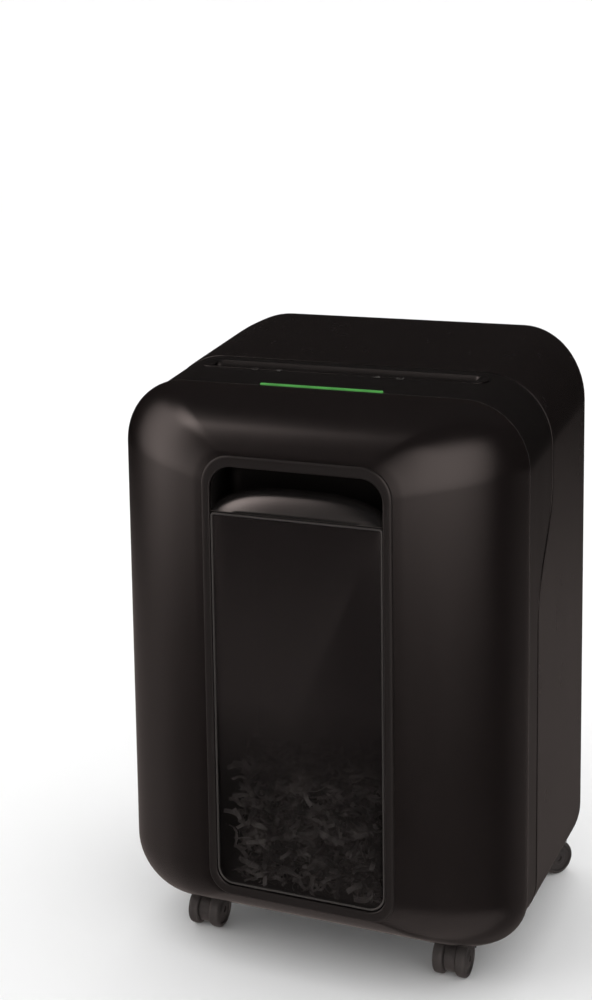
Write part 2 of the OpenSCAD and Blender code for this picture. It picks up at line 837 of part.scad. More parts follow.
// Rod along the axle of a caster, from a to b either side of its middle
module axle_rod(a, b, r) {
    translate([trail, b, wheel_r]) rotate([90, 0, 0]) cylinder(h = b - a, r = r);
}

// Stem, central web with its two stub axles, and the fender over both wheels
module caster_hood() color([0.05, 0.05, 0.05]) {
    cover_half_w = web_w / 2 + wheel_gap + wheel_w;
    fender_in = wheel_r + 0.6;
    fender_out = wheel_r + 2.2;
    translate([0, 0, 27]) cylinder(h = stem_top - 27, r = stem_r);
    translate([0, 0, 28]) cylinder(h = floor_gap - 28.6, r = 7);
    difference() {
        union() {
            axle_rod(-web_w / 2, web_w / 2, wheel_r - 3);
            translate([-5, -web_w / 2, 12]) cube([trail + 5, web_w, 18]);
        }
        translate([-30, -20, -20]) cube([80, 40, 23]);
        translate([trail, 0, wheel_r]) rotate([90, 0, 0]) difference() {
            cylinder(h = 40, r = 40, center = true);
            cylinder(h = 41, r = fender_out, center = true);
        }
    }
    axle_rod(-cover_half_w + 1, cover_half_w - 1, axle_r);
    difference() {
        axle_rod(-cover_half_w, cover_half_w, fender_out);
        axle_rod(-cover_half_w - 1, cover_half_w + 1, fender_in);
        translate([-40, -30, -10]) cube([100, 60, wheel_r + 11]);
        translate([trail + 8, -30, 0]) cube([60, 60, 60]);
    }
}

// One of the twin wheels: side is 1 or -1 along the axle
module caster_wheel(side) color([0.09, 0.09, 0.09]) {
    a = side > 0 ? web_w / 2 + wheel_gap : -web_w / 2 - wheel_gap - wheel_w;
    hub_cut = side > 0 ? a + wheel_w - 1.2 : a;
    difference() {
        axle_rod(a, a + wheel_w, wheel_r);
        axle_rod(a - 1, a + wheel_w + 1, axle_r + wheel_play);
        difference() {
            axle_rod(hub_cut, hub_cut + 1.2, wheel_r - 3);
            axle_rod(hub_cut - 1, hub_cut + 3, 5);
        }
    }
}

module at_fl() caster_at(-caster_front_x, caster_front_y, front_trail_angle) children();
module at_fr() caster_at(caster_front_x, caster_front_y, front_trail_angle) children();
module at_rl() caster_at(-caster_rear_x, caster_rear_y, 180 - rear_trail_angle) children();
module at_rr() caster_at(caster_rear_x, caster_rear_y, rear_trail_angle) children();

module caster_hood_fl() at_fl() caster_hood();
module caster_inner_wheel_fl() at_fl() caster_wheel(1);
module caster_outer_wheel_fl() at_fl() caster_wheel(-1);
module caster_hood_fr() at_fr() caster_hood();
module caster_inner_wheel_fr() at_fr() caster_wheel(-1);
module caster_outer_wheel_fr() at_fr() caster_wheel(1);
module caster_hood_rl() at_rl() caster_hood();
module caster_inner_wheel_rl() at_rl() caster_wheel(-1);
module caster_outer_wheel_rl() at_rl() caster_wheel(1);
module caster_hood_rr() at_rr() caster_hood();
module caster_inner_wheel_rr() at_rr() caster_wheel(1);
module caster_outer_wheel_rr() at_rr() caster_wheel(-1);

console_band();
rear_shell();
base_plate();
slot_funnel();
light_strip();
touch_icons();
front_guide();
rear_guide();
sheet_sensor();
head_tray();
gear_side_plate();
plain_side_plate();
tie_rods();
shaft_bushes();
front_comb();
rear_comb();
idler_axle();
motor_case();
control_board();
bin_switch();
cord_inlet();
vent_grille();
left_runner();
right_runner();
shell_screws();
front_cover();
window_duct();
bin_window();
window_trim();
handle_pocket();
handle_lip();
bin_tub();
tub_front_wall();
tub_back_wall();
bin_screws();
switch_tab();
front_shaft();
front_cutters();
front_spacers();
front_sync_gear();
rear_shaft();
rear_cutters();
rear_spacers();
rear_sync_gear();
drive_gear();
idler_gear();
motor_shaft();
motor_pinion();
caster_hood_fl();
caster_inner_wheel_fl();
caster_outer_wheel_fl();
caster_hood_fr();
caster_inner_wheel_fr();
caster_outer_wheel_fr();
caster_hood_rl();
caster_inner_wheel_rl();
caster_outer_wheel_rl();
caster_hood_rr();
caster_inner_wheel_rr();
caster_outer_wheel_rr();
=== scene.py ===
"""Finished look of a floor-standing paper shredder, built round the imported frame.

Lengths inside the builders are millimetres and become metres where a mesh is written.
"""

import logging
import math
import random
from dataclasses import dataclass, field, replace
from enum import Enum
from typing import Callable, Iterable, Sequence

import bmesh
import bpy
from mathutils import Euler, Matrix, Vector


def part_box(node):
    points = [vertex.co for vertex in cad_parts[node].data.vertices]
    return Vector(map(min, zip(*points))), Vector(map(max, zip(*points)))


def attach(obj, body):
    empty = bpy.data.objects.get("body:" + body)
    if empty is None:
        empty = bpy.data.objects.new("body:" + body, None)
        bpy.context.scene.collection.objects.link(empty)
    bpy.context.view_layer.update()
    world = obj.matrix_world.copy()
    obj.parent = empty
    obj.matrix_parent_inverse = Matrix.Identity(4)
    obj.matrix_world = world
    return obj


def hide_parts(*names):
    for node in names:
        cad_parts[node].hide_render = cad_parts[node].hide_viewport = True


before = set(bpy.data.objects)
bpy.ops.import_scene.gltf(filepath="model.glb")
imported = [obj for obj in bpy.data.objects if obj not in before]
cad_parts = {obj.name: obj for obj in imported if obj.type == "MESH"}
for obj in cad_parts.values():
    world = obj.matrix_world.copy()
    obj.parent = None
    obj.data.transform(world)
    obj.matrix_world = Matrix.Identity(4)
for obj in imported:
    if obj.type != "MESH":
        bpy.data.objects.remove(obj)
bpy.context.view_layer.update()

LOG = logging.getLogger("shredder")
MM = 0.001
FINISH_PREFIX = "finish_"

Point = tuple[float, float, float]
Ring = list[Point]
Colour = tuple[float, float, float]


# ---------- shader helpers ----------


class Signal:
    """A shader socket that can be used in Python arithmetic."""

    def __init__(self, paint: "Board", socket: bpy.types.NodeSocket) -> None:
        """Wraps one output socket of a paint's node tree."""
        self.paint = paint
        self.socket = socket

    def _math(self, operation: str, first: object, second: object) -> "Signal":
        """Adds one Math node on two operands, each a number or a signal."""
        return self.paint.node("ShaderNodeMath", {"operation": operation}, {0: first, 1: second})

    def __add__(self, other: object) -> "Signal":
        """Sum of two values."""
        return self._math("ADD", self, other)

    def __radd__(self, other: object) -> "Signal":
        """Sum with the number on the left."""
        return self._math("ADD", other, self)

    def __sub__(self, other: object) -> "Signal":
        """Difference of two values."""
        return self._math("SUBTRACT", self, other)

    def __rsub__(self, other: object) -> "Signal":
        """Difference with the number on the left."""
        return self._math("SUBTRACT", other, self)

    def __mul__(self, other: object) -> "Signal":
        """Product of two values."""
        return self._math("MULTIPLY", self, other)

    def __rmul__(self, other: object) -> "Signal":
        """Product with the number on the left."""
        return self._math("MULTIPLY", other, self)

    def at_least(self, other: object) -> "Signal":
        """The larger of two values."""
        return self._math("MAXIMUM", self, other)


class Board:
    """A node tree under construction."""

    def __init__(self, tree: bpy.types.NodeTree) -> None:
        """Clears a tree and takes it over."""
        self.tree = tree
        self.tree.nodes.clear()

    def feed(self, socket: bpy.types.NodeSocket, value: object) -> None:
        """Sets or links one input socket.

        Args:
            socket: the input.
            value: a signal to link, or a plain value to set.
        """
        if isinstance(value, Signal):
            self.tree.links.new(value.socket, socket)
        else:
            socket.default_value = value

    def node(self, kind: str, settings: dict[str, object] | None = None,
             values: dict[object, object] | None = None, result: object = 0) -> Signal | None:
        """Adds any node: its settings first, then its socket values or links.

        Args:
            kind: the node's type.
            settings: attributes of the node.
            values: input sockets by name or number.
            result: name or number of the output wanted, or None for a node without outputs.

        Returns:
            The signal of that output, if there is one.
        """
        made = self.tree.nodes.new(kind)
        for name, setting in (settings or {}).items():
            setattr(made, name, setting)
        for key, value in (values or {}).items():
            self.feed(made.inputs[key], value)
        return None if result is None else Signal(self, made.outputs[result])

    def ramp(self, value: Signal, low: float, high: float, kind: str = "LINEAR") -> Signal:
        """Rescales low..high to 0..1, clamped, straight or with a soft start and end."""
        return self.node("ShaderNodeMapRange", {"clamp": True, "interpolation_type": kind},
                         {"Value": value, "From Min": low, "From Max": high})


class Paint(Board):
    """One material under construction: a node tree round a Principled shader."""

    def __init__(self, name: str) -> None:
        """Starts a material with an empty tree, a shader and an output.

        Args:
            name: name of the finish.
        """
        self.material = bpy.data.materials.new(FINISH_PREFIX + name)
        self.material.use_nodes = True
        super().__init__(self.material.node_tree)
        self.output = self.tree.nodes.new("ShaderNodeOutputMaterial")
        self.shader = self.tree.nodes.new("ShaderNodeBsdfPrincipled")
        self.tree.links.new(self.shader.outputs[0], self.output.inputs["Surface"])

    def set(self, **values: object) -> None:
        """Sets shader sockets, whose names are given with underscores for blanks.

        Args:
            **values: a value or a signal for each socket.
        """
        for name, value in values.items():
            label = " ".join(w.upper() if w == "ior" else w.capitalize() for w in name.split("_"))
            self.feed(self.shader.inputs[label], value)

    def place(self, stretch: Sequence[float] = (1, 1, 1)) -> Signal:
        """Object coordinates, stretched per axis."""
        here = self.node("ShaderNodeTexCoord", result="Object")
        return self.node("ShaderNodeVectorMath", {"operation": "MULTIPLY"}, {0: here, 1: stretch})

    def noise(self, scale: float, detail: float = 3.0, rough: float = 0.5,
              stretch: Sequence[float] = (1, 1, 1)) -> Signal:
        """Fractal noise from 0 to 1 over object space, with its scale in cells to the metre."""
        return self.node("ShaderNodeTexNoise", None,
                         {"Vector": self.place(stretch), "Scale": scale, "Detail": detail,
                          "Roughness": rough})

    def cells(self, scale: float) -> Signal:
        """Distance to the nearest of scattered points, for a moulded grain."""
        return self.node("ShaderNodeTexVoronoi", {"feature": "F1"},
                         {"Vector": self.place(), "Scale": scale}, "Distance")

    def blend(self, share: object, first: object, second: object) -> Signal:
        """Mixes two colours: all the first at a share of 0, all the second at 1."""
        return self.node("ShaderNodeMix", {"data_type": "RGBA"},
                         {0: share, 6: rgba(first), 7: rgba(second)}, 2)

    def bump(self, height: Signal, depth: float, strength: float = 1.0) -> None:
        """Feeds a Bump node of the given depth in metres to the shader's normal."""
        self.set(normal=self.node("ShaderNodeBump", None,
                                  {"Height": height, "Distance": depth, "Strength": strength}))

    def along(self, axis: int) -> Signal:
        """One component of the place in object space, in metres."""
        return self.node("ShaderNodeSeparateXYZ", None, {0: self.place()}, axis)

    def side(self, axis: int) -> Signal:
        """One component of the surface normal in object space."""
        here = self.node("ShaderNodeTexCoord", result="Normal")
        return self.node("ShaderNodeSeparateXYZ", None, {0: here}, axis)


def rgba(value: object) -> object:
    """Adds an alpha of one to a plain colour and leaves a signal alone."""
    return value if isinstance(value, Signal) else (*value, 1.0)


def shade(colour: Colour, factor: float) -> Colour:
    """A colour made lighter or darker."""
    return (colour[0] * factor, colour[1] * factor, colour[2] * factor)


# ---------- finishes ----------


@dataclass(frozen=True)
class Finish:
    """A named finish, which wires its own shader."""

    name: str

    def wire(self, paint: Paint) -> None:
        """Sets the shader of a new material."""
        raise NotImplementedError

    def make(self) -> bpy.types.Material:
        """Builds the material.

        Returns:
            The finished material.
        """
        paint = Paint(self.name)
        self.wire(paint)
        return paint.material


@dataclass(frozen=True)
class Moulded(Finish):
    """Injection-moulded plastic: mottled colour, uneven gloss and a fine surface grain."""

    colour: Colour
    roughness: float = 0.35
    mottle: float = 0.15
    grain: float = 900.0
    grain_depth: float = 0.00002
    coat: float = 0.0
    coat_roughness: float = 0.08
    specular: float = 0.5
    dust: float = 0.0

    def wire(self, paint: Paint) -> None:
        """Sets the shader of a new material.

        Args:
            paint: the material under construction.
        """
        cloud = paint.noise(14, 4)
        smear = paint.noise(55, 3, 0.6, (1, 1, 0.35))
        fine = paint.noise(self.grain, 2)
        base = paint.blend(cloud, shade(self.colour, 1 - self.mottle), shade(self.colour, 1 + self.mottle))
        if self.dust:
            settled = paint.ramp(paint.side(2), 0.55, 1.0) * paint.ramp(paint.noise(240, 4, 0.7), 0.45, 0.8)
            base = paint.blend(settled * self.dust, base, (0.12, 0.115, 0.105))
        paint.set(base_color=base, roughness=self.roughness * (0.85 + 0.3 * smear),
                  specular_ior_level=self.specular, coat_weight=self.coat,
                  coat_roughness=self.coat_roughness)
        paint.bump(fine, self.grain_depth)


@dataclass(frozen=True)
class Grained(Finish):
    """Spark-eroded plastic with a cellular grain, for hidden and hard-wearing parts."""

    colour: Colour
    roughness: float = 0.6
    cell: float = 1400.0
    depth: float = 0.00006

    def wire(self, paint: Paint) -> None:
        """Sets the shader of a new material.

        Args:
            paint: the material under construction.
        """
        cloud = paint.noise(25, 4)
        cells = paint.cells(self.cell)
        paint.set(base_color=paint.blend(cloud, shade(self.colour, 0.8), shade(self.colour, 1.25)),
                  roughness=self.roughness + 0.15 * (cells - 0.5))
        paint.bump(cells, self.depth)


@dataclass(frozen=True)
class Machined(Finish):
    """Turned, ground or plated metal with streaks along one axis and faint stains."""

    colour: Colour
    roughness: float = 0.3
    streak: tuple[float, float, float] = (0.05, 1, 1)
    stain: Colour = (0.2, 0.18, 0.15)

    def wire(self, paint: Paint) -> None:
        """Sets the shader of a new material.

        Args:
            paint: the material under construction.
        """
        lines = paint.noise(1500, 2, 0.6, self.streak)
        blotch = paint.ramp(paint.noise(60, 4, 0.65), 0.5, 0.85)
        paint.set(base_color=paint.blend(blotch * 0.35, self.colour, self.stain), metallic=1.0,
                  roughness=self.roughness * (0.8 + 0.4 * lines) + 0.15 * blotch)
        paint.bump(lines, 0.00002)


@dataclass(frozen=True)
class SmokedPane(Finish):
    """Dark clear plastic that lets a little of what lies behind it show."""

    colour: Colour
    alpha: float
    roughness: float

    def wire(self, paint: Paint) -> None:
        """Sets the shader of a new material.

        Args:
            paint: the material under construction.
        """
        haze = paint.noise(30, 3)
        veil = paint.ramp(paint.along(2), 0.15, 0.23)
        tint = paint.blend(veil, shade(self.colour, 0.25), self.colour)
        paint.set(base_color=tint, alpha=self.alpha + 0.05 * (haze - 0.5) + 0.42 * veil,
                  roughness=self.roughness * (0.9 + 0.2 * haze))


@dataclass(frozen=True)
class LightPipe(Finish):
    """Clear green plastic lit from behind by a row of lamps."""

    colour: Colour
    strength: float
    lamp_pitch: float = 0.026

    def wire(self, paint: Paint) -> None:
        """Sets the shader of a new material.

        Args:
            paint: the material under construction.
        """
        wave = paint.node("ShaderNodeMath", {"operation": "COSINE"},
                          {0: paint.along(0) * (2 * math.pi / self.lamp_pitch)})
        glow = 0.82 + 0.12 * wave + 0.1 * paint.noise(70, 2)
        paint.set(base_color=paint.blend(paint.noise(300), shade(self.colour, 0.5), self.colour),
                  roughness=0.3, emission_strength=self.strength,
                  emission_color=paint.blend(glow, (0, 0, 0), self.colour))


@dataclass(frozen=True)
class Paper(Finish):
    """Shredded office paper: off-white with scraps of print and colour."""

    colour: Colour

    def wire(self, paint: Paint) -> None:
        """Sets the shader of a new material.

        Args:
            paint: the material under construction.
        """
        scrap = paint.noise(130, 2, 0.8)
        print_mask = paint.ramp(paint.noise(900, 3, 0.8), 0.56, 0.62) * paint.ramp(scrap, 0.45, 0.55)
        tone = paint.blend(paint.ramp(paint.noise(45, 2), 0.35, 0.65), shade(self.colour, 0.12), self.colour)
        paint.set(base_color=paint.blend(print_mask * 0.8, tone, (0.05, 0.05, 0.06)), roughness=0.85)
        paint.bump(paint.noise(1800, 3), 0.00006)


@dataclass(frozen=True)
class StudioFloor(Finish):
    """Pale matt studio floor."""

    name: str = "studio_floor"
    colour: Colour = (0.88, 0.88, 0.88)

    def wire(self, paint: Paint) -> None:
        """Sets the shader of a new material.

        Args:
            paint: the material under construction.
        """
        paint.set(base_color=paint.blend(paint.noise(3, 2), shade(self.colour, 0.985), self.colour),
                  roughness=0.9, specular_ior_level=0.1)


class Look(Enum):
    """Every finish of the shredder, each under its own name."""

    GLOSS_BLACK = Moulded("gloss_black", (0.0056, 0.0036, 0.0034), 0.24, coat=0.25, coat_roughness=0.2,
                          dust=0.01)
    CABINET_BLACK = Moulded("cabinet_black", (0.0054, 0.0037, 0.0035), 0.26, coat=0.1, dust=0.01)
    CONSOLE_BLACK = Moulded("console_black", (0.0046, 0.0032, 0.0030), 0.34, coat=0.05, dust=0.01)
    FRAME_BLACK = Moulded("frame_black", (0.0078, 0.0058, 0.0055), 0.36, coat=0.1)
    # Painted highlight: the rim bead's light colour stands in for the bright line of light the rim catches.
    RIM_SATIN = Moulded("rim_painted_highlight", (0.045, 0.039, 0.036), 0.3, coat=0.3)
    LIP_GLOSS = Moulded("lip_gloss", (0.0060, 0.0050, 0.0047), 0.22, coat=1.0, coat_roughness=0.15,
                        specular=1.0)
    # Painted shade: the handle recess is far darker and duller than the cover so that it reads as shaded.
    POCKET_BLACK = Moulded("pocket_painted_shade", (0.0018, 0.0015, 0.0013), 0.6, specular=0.2)
    INNER_BLACK = Grained("inner_black", (0.014, 0.013, 0.0125))
    GUIDE_GREY = Moulded("guide_grey", (0.02, 0.02, 0.02), 0.45)
    SMOKED_WINDOW = SmokedPane("smoked_window", (0.0110, 0.0086, 0.0084), 0.46, 0.16)
    TRIM_GREY = Moulded("trim_grey", (0.038, 0.034, 0.032), 0.3, coat=0.2)
    INDICATOR_GREEN = LightPipe("indicator_green", (0.05, 0.22, 0.045), 0.75)
    ICON_GREY = Moulded("icon_grey", (0.055, 0.050, 0.047), 0.45)
    PLATED_STEEL = Machined("plated_steel", (0.62, 0.62, 0.63), 0.35)
    HARD_STEEL = Machined("hard_steel", (0.42, 0.42, 0.44), 0.28, (1, 0.1, 0.1))
    SPACER_PLASTIC = Grained("spacer_plastic", (0.6, 0.6, 0.56))
    GEAR_METAL = Machined("gear_metal", (0.55, 0.45, 0.27), 0.38)
    BRONZE = Machined("bronze", (0.55, 0.34, 0.16), 0.4)
    MOTOR_PAINT = Moulded("motor_paint", (0.08, 0.08, 0.09), 0.4, grain=300, grain_depth=0.00005)
    BOARD_GREEN = Moulded("board_green", (0.02, 0.12, 0.045), 0.35, mottle=0.3)
    CASTER_BLACK = Moulded("caster_black", (0.046, 0.039, 0.037), 0.38, grain=500, grain_depth=0.00004)
    WHEEL_BLACK = Grained("wheel_black", (0.043, 0.037, 0.035), 0.5, 900, 0.00005)
    PAPER_SHRED = Paper("paper_shred", (0.50, 0.44, 0.42))
    FLOOR = StudioFloor()

    def material(self) -> bpy.types.Material:
        """The finish's material, built on first use."""
        return bpy.data.materials.get(FINISH_PREFIX + self.value.name) or self.value.make()

    def dress(self, piece: bpy.types.Object) -> None:
        """Gives a piece this finish in place of whatever it had.

        Args:
            piece: the object to dress.
        """
        piece.data.materials.clear()
        piece.data.materials.append(self.material())
        if hasattr(piece.data, "polygons"):
            piece.data.polygons.foreach_set("material_index", [0] * len(piece.data.polygons))


# ---------- mesh helpers ----------


@dataclass(frozen=True)
class Span:
    """A CAD node's box in millimetres."""

    low: Vector
    high: Vector

    @classmethod
    def of(cls, node: str) -> "Span":
        """The box of the named node."""
        low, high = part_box(node)
        return cls(low / MM, high / MM)

    @property
    def middle(self) -> Vector:
        """Centre of the box."""
        return (self.low + self.high) / 2


def node_box(node: str) -> Span:
    """A dataclass field that holds the box of a CAD node."""
    return field(default_factory=lambda: Span.of(node))


@dataclass(frozen=True)
class Outline:
    """Upright rounded rectangle, x by z, with radii of its own at the top and the bottom."""

    half_width: float
    low: float
    high: float
    r_high: float
    r_low: float
    corner_steps: int = 14
    side_steps: int = 12
    deck_steps: int = 12

    def grown(self, by: float) -> "Outline":
        """The outline moved outwards on every side."""
        return replace(self, half_width=self.half_width + by, low=self.low - by, high=self.high + by,
                       r_high=max(0.2, self.r_high + by), r_low=max(0.2, self.r_low + by))

    def mixed(self, other: "Outline", share: float) -> "Outline":
        """Outline part of the way to another one."""
        names = ("half_width", "low", "high", "r_high", "r_low")
        return replace(self, **{n: mix(getattr(self, n), getattr(other, n), share) for n in names})

    def points(self) -> list[tuple[float, float]]:
        """The outline's points, from the middle of the underside through +X to the top and back.

        Returns:
            The points as x and z.
        """
        hw, lo, hi, rh, rl = self.half_width, self.low, self.high, self.r_high, self.r_low
        made: list[tuple[float, float]] = []

        def line(a: tuple[float, float], b: tuple[float, float], steps: int) -> None:
            """Adds the inner points of a straight run."""
            made.extend((mix(a[0], b[0], i / steps), mix(a[1], b[1], i / steps)) for i in range(1, steps))

        def corner(cx: float, cz: float, r: float, start: float) -> None:
            """Adds a quarter circle.

            Args:
                cx, cz: its centre.
                r: its radius.
                start: its first angle in degrees.
            """
            for i in range(self.corner_steps + 1):
                turn = math.radians(start + 90 * i / self.corner_steps)
                made.append((cx + r * math.cos(turn), cz + r * math.sin(turn)))

        corner(hw - rl, lo + rl, rl, -90)
        line((hw, lo + rl), (hw, hi - rh), self.side_steps)
        corner(hw - rh, hi - rh, rh, 0)
        line((hw - rh, hi), (rh - hw, hi), self.deck_steps)
        corner(rh - hw, hi - rh, rh, 90)
        line((-hw, hi - rh), (-hw, lo + rl), self.side_steps)
        corner(rl - hw, lo + rl, rl, 180)
        line((rl - hw, lo), (hw - rl, lo), self.deck_steps)
        return made

    def ring(self, y: float) -> Ring:
        """The outline as points in space at one depth."""
        return [(x, y, z) for x, z in self.points()]

    def rings(self, front: float, steps: Iterable[tuple[float, float]]) -> list[Ring]:
        """Rings of the outline, grown and set back from a depth by each pair of steps."""
        return [self.grown(grow).ring(front + back) for grow, back in steps]


def mix(a: float, b: float, share: float) -> float:
    """Straight mix of two numbers."""
    return a + (b - a) * share


def smooth(value: float) -> float:
    """Smoothstep of a value clamped to 0..1."""
    t = min(1.0, max(0.0, value))
    return t * t * (3 - 2 * t)


class Mesher:
    """Collects points and faces and turns them into one object."""

    def __init__(self, name: str) -> None:
        """Starts an empty mesh for a piece of this name."""
        self.name = name
        self.grid = bmesh.new()

    def ring(self, points: Iterable[Point]) -> list[bmesh.types.BMVert]:
        """Adds a row of points in millimetres."""
        return [self.grid.verts.new(Vector(p) * MM) for p in points]

    def face(self, corners: Sequence[bmesh.types.BMVert]) -> None:
        """Adds one face unless two corners are the same."""
        if len(set(corners)) == len(corners):
            self.grid.faces.new(corners)

    def skin(self, rings: Sequence[Sequence[bmesh.types.BMVert]], closed: bool = False,
             skip: Callable[[int, int], bool] | None = None, around: bool = True) -> None:
        """Joins rows of equal length with quads.

        Args:
            rings: the rows.
            closed: whether the last row joins the first.
            skip: tells by row and column which quads are left out.
            around: whether each row is itself a closed loop.
        """
        count = len(rings[0])
        for i in range(len(rings) - (0 if closed else 1)):
            a, b = rings[i], rings[(i + 1) % len(rings)]
            for j in range(count if around else count - 1):
                if skip is None or not skip(i, j):
                    k = (j + 1) % count
                    self.face((a[j], a[k], b[k], b[j]))

    def cap(self, ring: Sequence[bmesh.types.BMVert]) -> None:
        """Closes a loop with one flat face."""
        self.face(list(ring))

    def loft(self, rings: Iterable[Iterable[Point]], closed: bool = False, caps: bool = False) -> None:
        """Adds closed rings and joins them, with flat caps on request.

        Args:
            rings: the rings' points.
            closed: whether the last ring joins the first.
            caps: whether both ends are closed.
        """
        rows = [self.ring(r) for r in rings]
        self.skin(rows, closed)
        if caps:
            self.cap(rows[0])
            self.cap(rows[-1])

    def fill(self, loops: Sequence[Sequence[bmesh.types.BMVert]]) -> None:
        """Fills a flat area bounded by a loop and the holes in it.

        Args:
            loops: the loop and its holes.
        """
        edges = []
        for loop in loops:
            for a, b in zip(loop, [*loop[1:], loop[0]]):
                edges.append(self.grid.edges.get((a, b)) or self.grid.edges.new((a, b)))
        bmesh.ops.triangle_fill(self.grid, use_beauty=True, use_dissolve=False, edges=edges)

    def finish(self, look: Look, body: str, replaced: Sequence[str] = (),
               angle: float = 40.0) -> bpy.types.Object:
        """Turns the mesh into a dressed object that rides on a body.

        Args:
            look: the finish.
            body: the body that it rides on.
            replaced: CAD nodes that it stands for.
            angle: edges sharper than this many degrees stay crisp.

        Returns:
            The object.
        """
        bmesh.ops.remove_doubles(self.grid, verts=self.grid.verts, dist=1e-7)
        bmesh.ops.recalc_face_normals(self.grid, faces=self.grid.faces)
        limit = math.radians(angle)
        for f in self.grid.faces:
            f.smooth = True
        for e in self.grid.edges:
            e.smooth = len(e.link_faces) != 2 or e.calc_face_angle(0.0) < limit
        mesh = bpy.data.meshes.new(self.name)
        self.grid.to_mesh(mesh)
        self.grid.free()
        piece = bpy.data.objects.new(self.name, mesh)
        bpy.context.scene.collection.objects.link(piece)
        look.dress(piece)
        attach(piece, body)
        if replaced:
            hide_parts(*replaced)
        LOG.info("%s built, on body %s", self.name, body)
        return piece


def soften(piece: bpy.types.Object, width: float) -> None:
    """Rounds the sharp edges of a piece by a width in millimetres and evens its shading.

    Args:
        piece: the object.
        width: size of the rounding.
    """
    bevel = piece.modifiers.new("edge_rounding", "BEVEL")
    bevel.width = width * MM
    bevel.segments = 2
    bevel.limit_method = "ANGLE"
    bevel.angle_limit = math.radians(35.0)
    bevel.harden_normals = False
    even_shading(piece, 80)


def even_shading(piece: bpy.types.Object, weight: int = 50) -> None:
    """Evens the shading of a piece by the size of its faces and keeps its sharp edges.

    Args:
        piece: the object.
        weight: how strongly the large faces lead.
    """
    even = piece.modifiers.new("even_shading", "WEIGHTED_NORMAL")
    even.weight = weight
    even.keep_sharp = True


def thicken(piece: bpy.types.Object, wall: float) -> None:
    """Gives a skin a wall on its inner side, in millimetres.

    Args:
        piece: the skin.
        wall: its thickness.
    """
    solid = piece.modifiers.new("wall", "SOLIDIFY")
    solid.thickness = wall * MM
    solid.offset = -1.0
    solid.use_even_offset = True


def disc_ring(centre: Point, radius: float, count: int = 32) -> Ring:
    """A circle of points round a centre, square to the Y axis."""
    turns = (2 * math.pi * i / count for i in range(count))
    return [(centre[0] + radius * math.cos(a), centre[1], centre[2] + radius * math.sin(a)) for a in turns]


# ---------- sub-assemblies ----------


@dataclass
class FrontCover:
    """Pillow-shaped gloss cover with a raised frame round its opening."""

    box: Span = node_box("front_cover")
    window: Span = node_box("bin_window")
    pocket: Span = node_box("handle_pocket")
    skin: float = 3.0
    frame_step: float = 1.3
    swell_steps: int = 36
    inner_steps: int = 10
    first_turn: float = 4.0
    step_fade: float = 26.0
    flare: float = 1.22
    roundness: float = 1.75
    rim_r_high: float = 52.0
    rim_r_low: float = 44.0

    @property
    def opening(self) -> Outline:
        """Edge of the opening for window and handle."""
        return Outline(self.window.high.x + 2.0, self.window.low.z - 3.0, self.pocket.high.z - 3.0, 18, 14)

    @property
    def raised(self) -> Outline:
        """Outer edge of the raised frame."""
        return Outline(self.window.high.x + 9.5, self.window.low.z - 11.0, self.pocket.high.z + 6.0, 24, 20)

    @property
    def rim(self) -> Outline:
        """Edge of the cover where it meets the cabinet."""
        return Outline(self.box.high.x, self.box.low.z, self.box.high.z, self.rim_r_high, self.rim_r_low)

    def swell(self, turn: float, inset: float) -> Ring:
        """One ring of the swell.

        Args:
            turn: 0 at the raised frame and 90 at the rim, in degrees.
            inset: distance inside the outer surface.

        Returns:
            The ring's points.
        """
        share = math.sin(math.radians(turn))
        front, rim_y = self.box.low.y, self.box.high.y
        bulge = rim_y - front - inset
        height = max(0.0, 1 - share**self.flare) ** (1 / self.roundness)
        return self.raised.mixed(self.rim, share).grown(-inset).ring(rim_y - bulge * height)

    def build_frame(self) -> None:
        """Builds the raised frame round the opening, with soft edges."""
        front = self.box.low.y
        edge = self.raised
        inner = ((0.0, self.skin + 0.5), (0.0, 1.3), (0.15, 0.65), (0.5, 0.2), (1.2, 0.0))
        outer = ((-1.8, 0.3), (-0.9, 0.5), (-0.3, 0.95), (0.0, 1.6), (0.0, self.skin))
        rings = self.opening.rings(front, inner)
        rings += [self.opening.mixed(edge, s).ring(front + 0.25 * s * s) for s in (0.35, 0.6)]
        rings += edge.rings(front, outer)
        mesh = Mesher("opening_frame")
        mesh.loft(rings, closed=True)
        piece = mesh.finish(Look.FRAME_BLACK, "bin", (), 60)
        even_shading(piece)

    def build(self) -> None:
        """Builds the cover as one closed skin."""
        self.build_frame()
        front = self.box.low.y
        rings = self.raised.rings(front, ((-2.0, self.skin), (-2.0, self.frame_step)))
        for i in range(self.swell_steps + 1):
            turn = mix(self.first_turn, 90.0, i / self.swell_steps)
            sunk = self.frame_step * (1 - smooth((turn - self.first_turn) / self.step_fade))
            rings.append(self.swell(turn, sunk))
        rings.append(self.swell(90, 0.9))
        rings += [self.swell(90 - (90 - self.first_turn) * i / self.inner_steps, self.skin)
                  for i in range(self.inner_steps + 1)]
        mesh = Mesher("front_cover_skin")
        mesh.loft(rings, closed=True)
        piece = mesh.finish(Look.GLOSS_BLACK, "bin", ["front_cover"], 60)
        even_shading(piece)
        self.build_bead()

    def build_bead(self) -> None:
        """Builds the thin edge that runs round the rim, whose light colour is a painted highlight along the
        rim.
        """
        section = ((-1.6, -1.0), (-0.25, -1.0), (-0.02, -0.6), (0.0, 0.0), (-0.3, 0.45), (-1.6, 0.45))
        mesh = Mesher("cover_rim_bead")
        mesh.loft(self.rim.rings(self.box.high.y, section), closed=True)
        mesh.finish(Look.RIM_SATIN, "bin", (), 70)


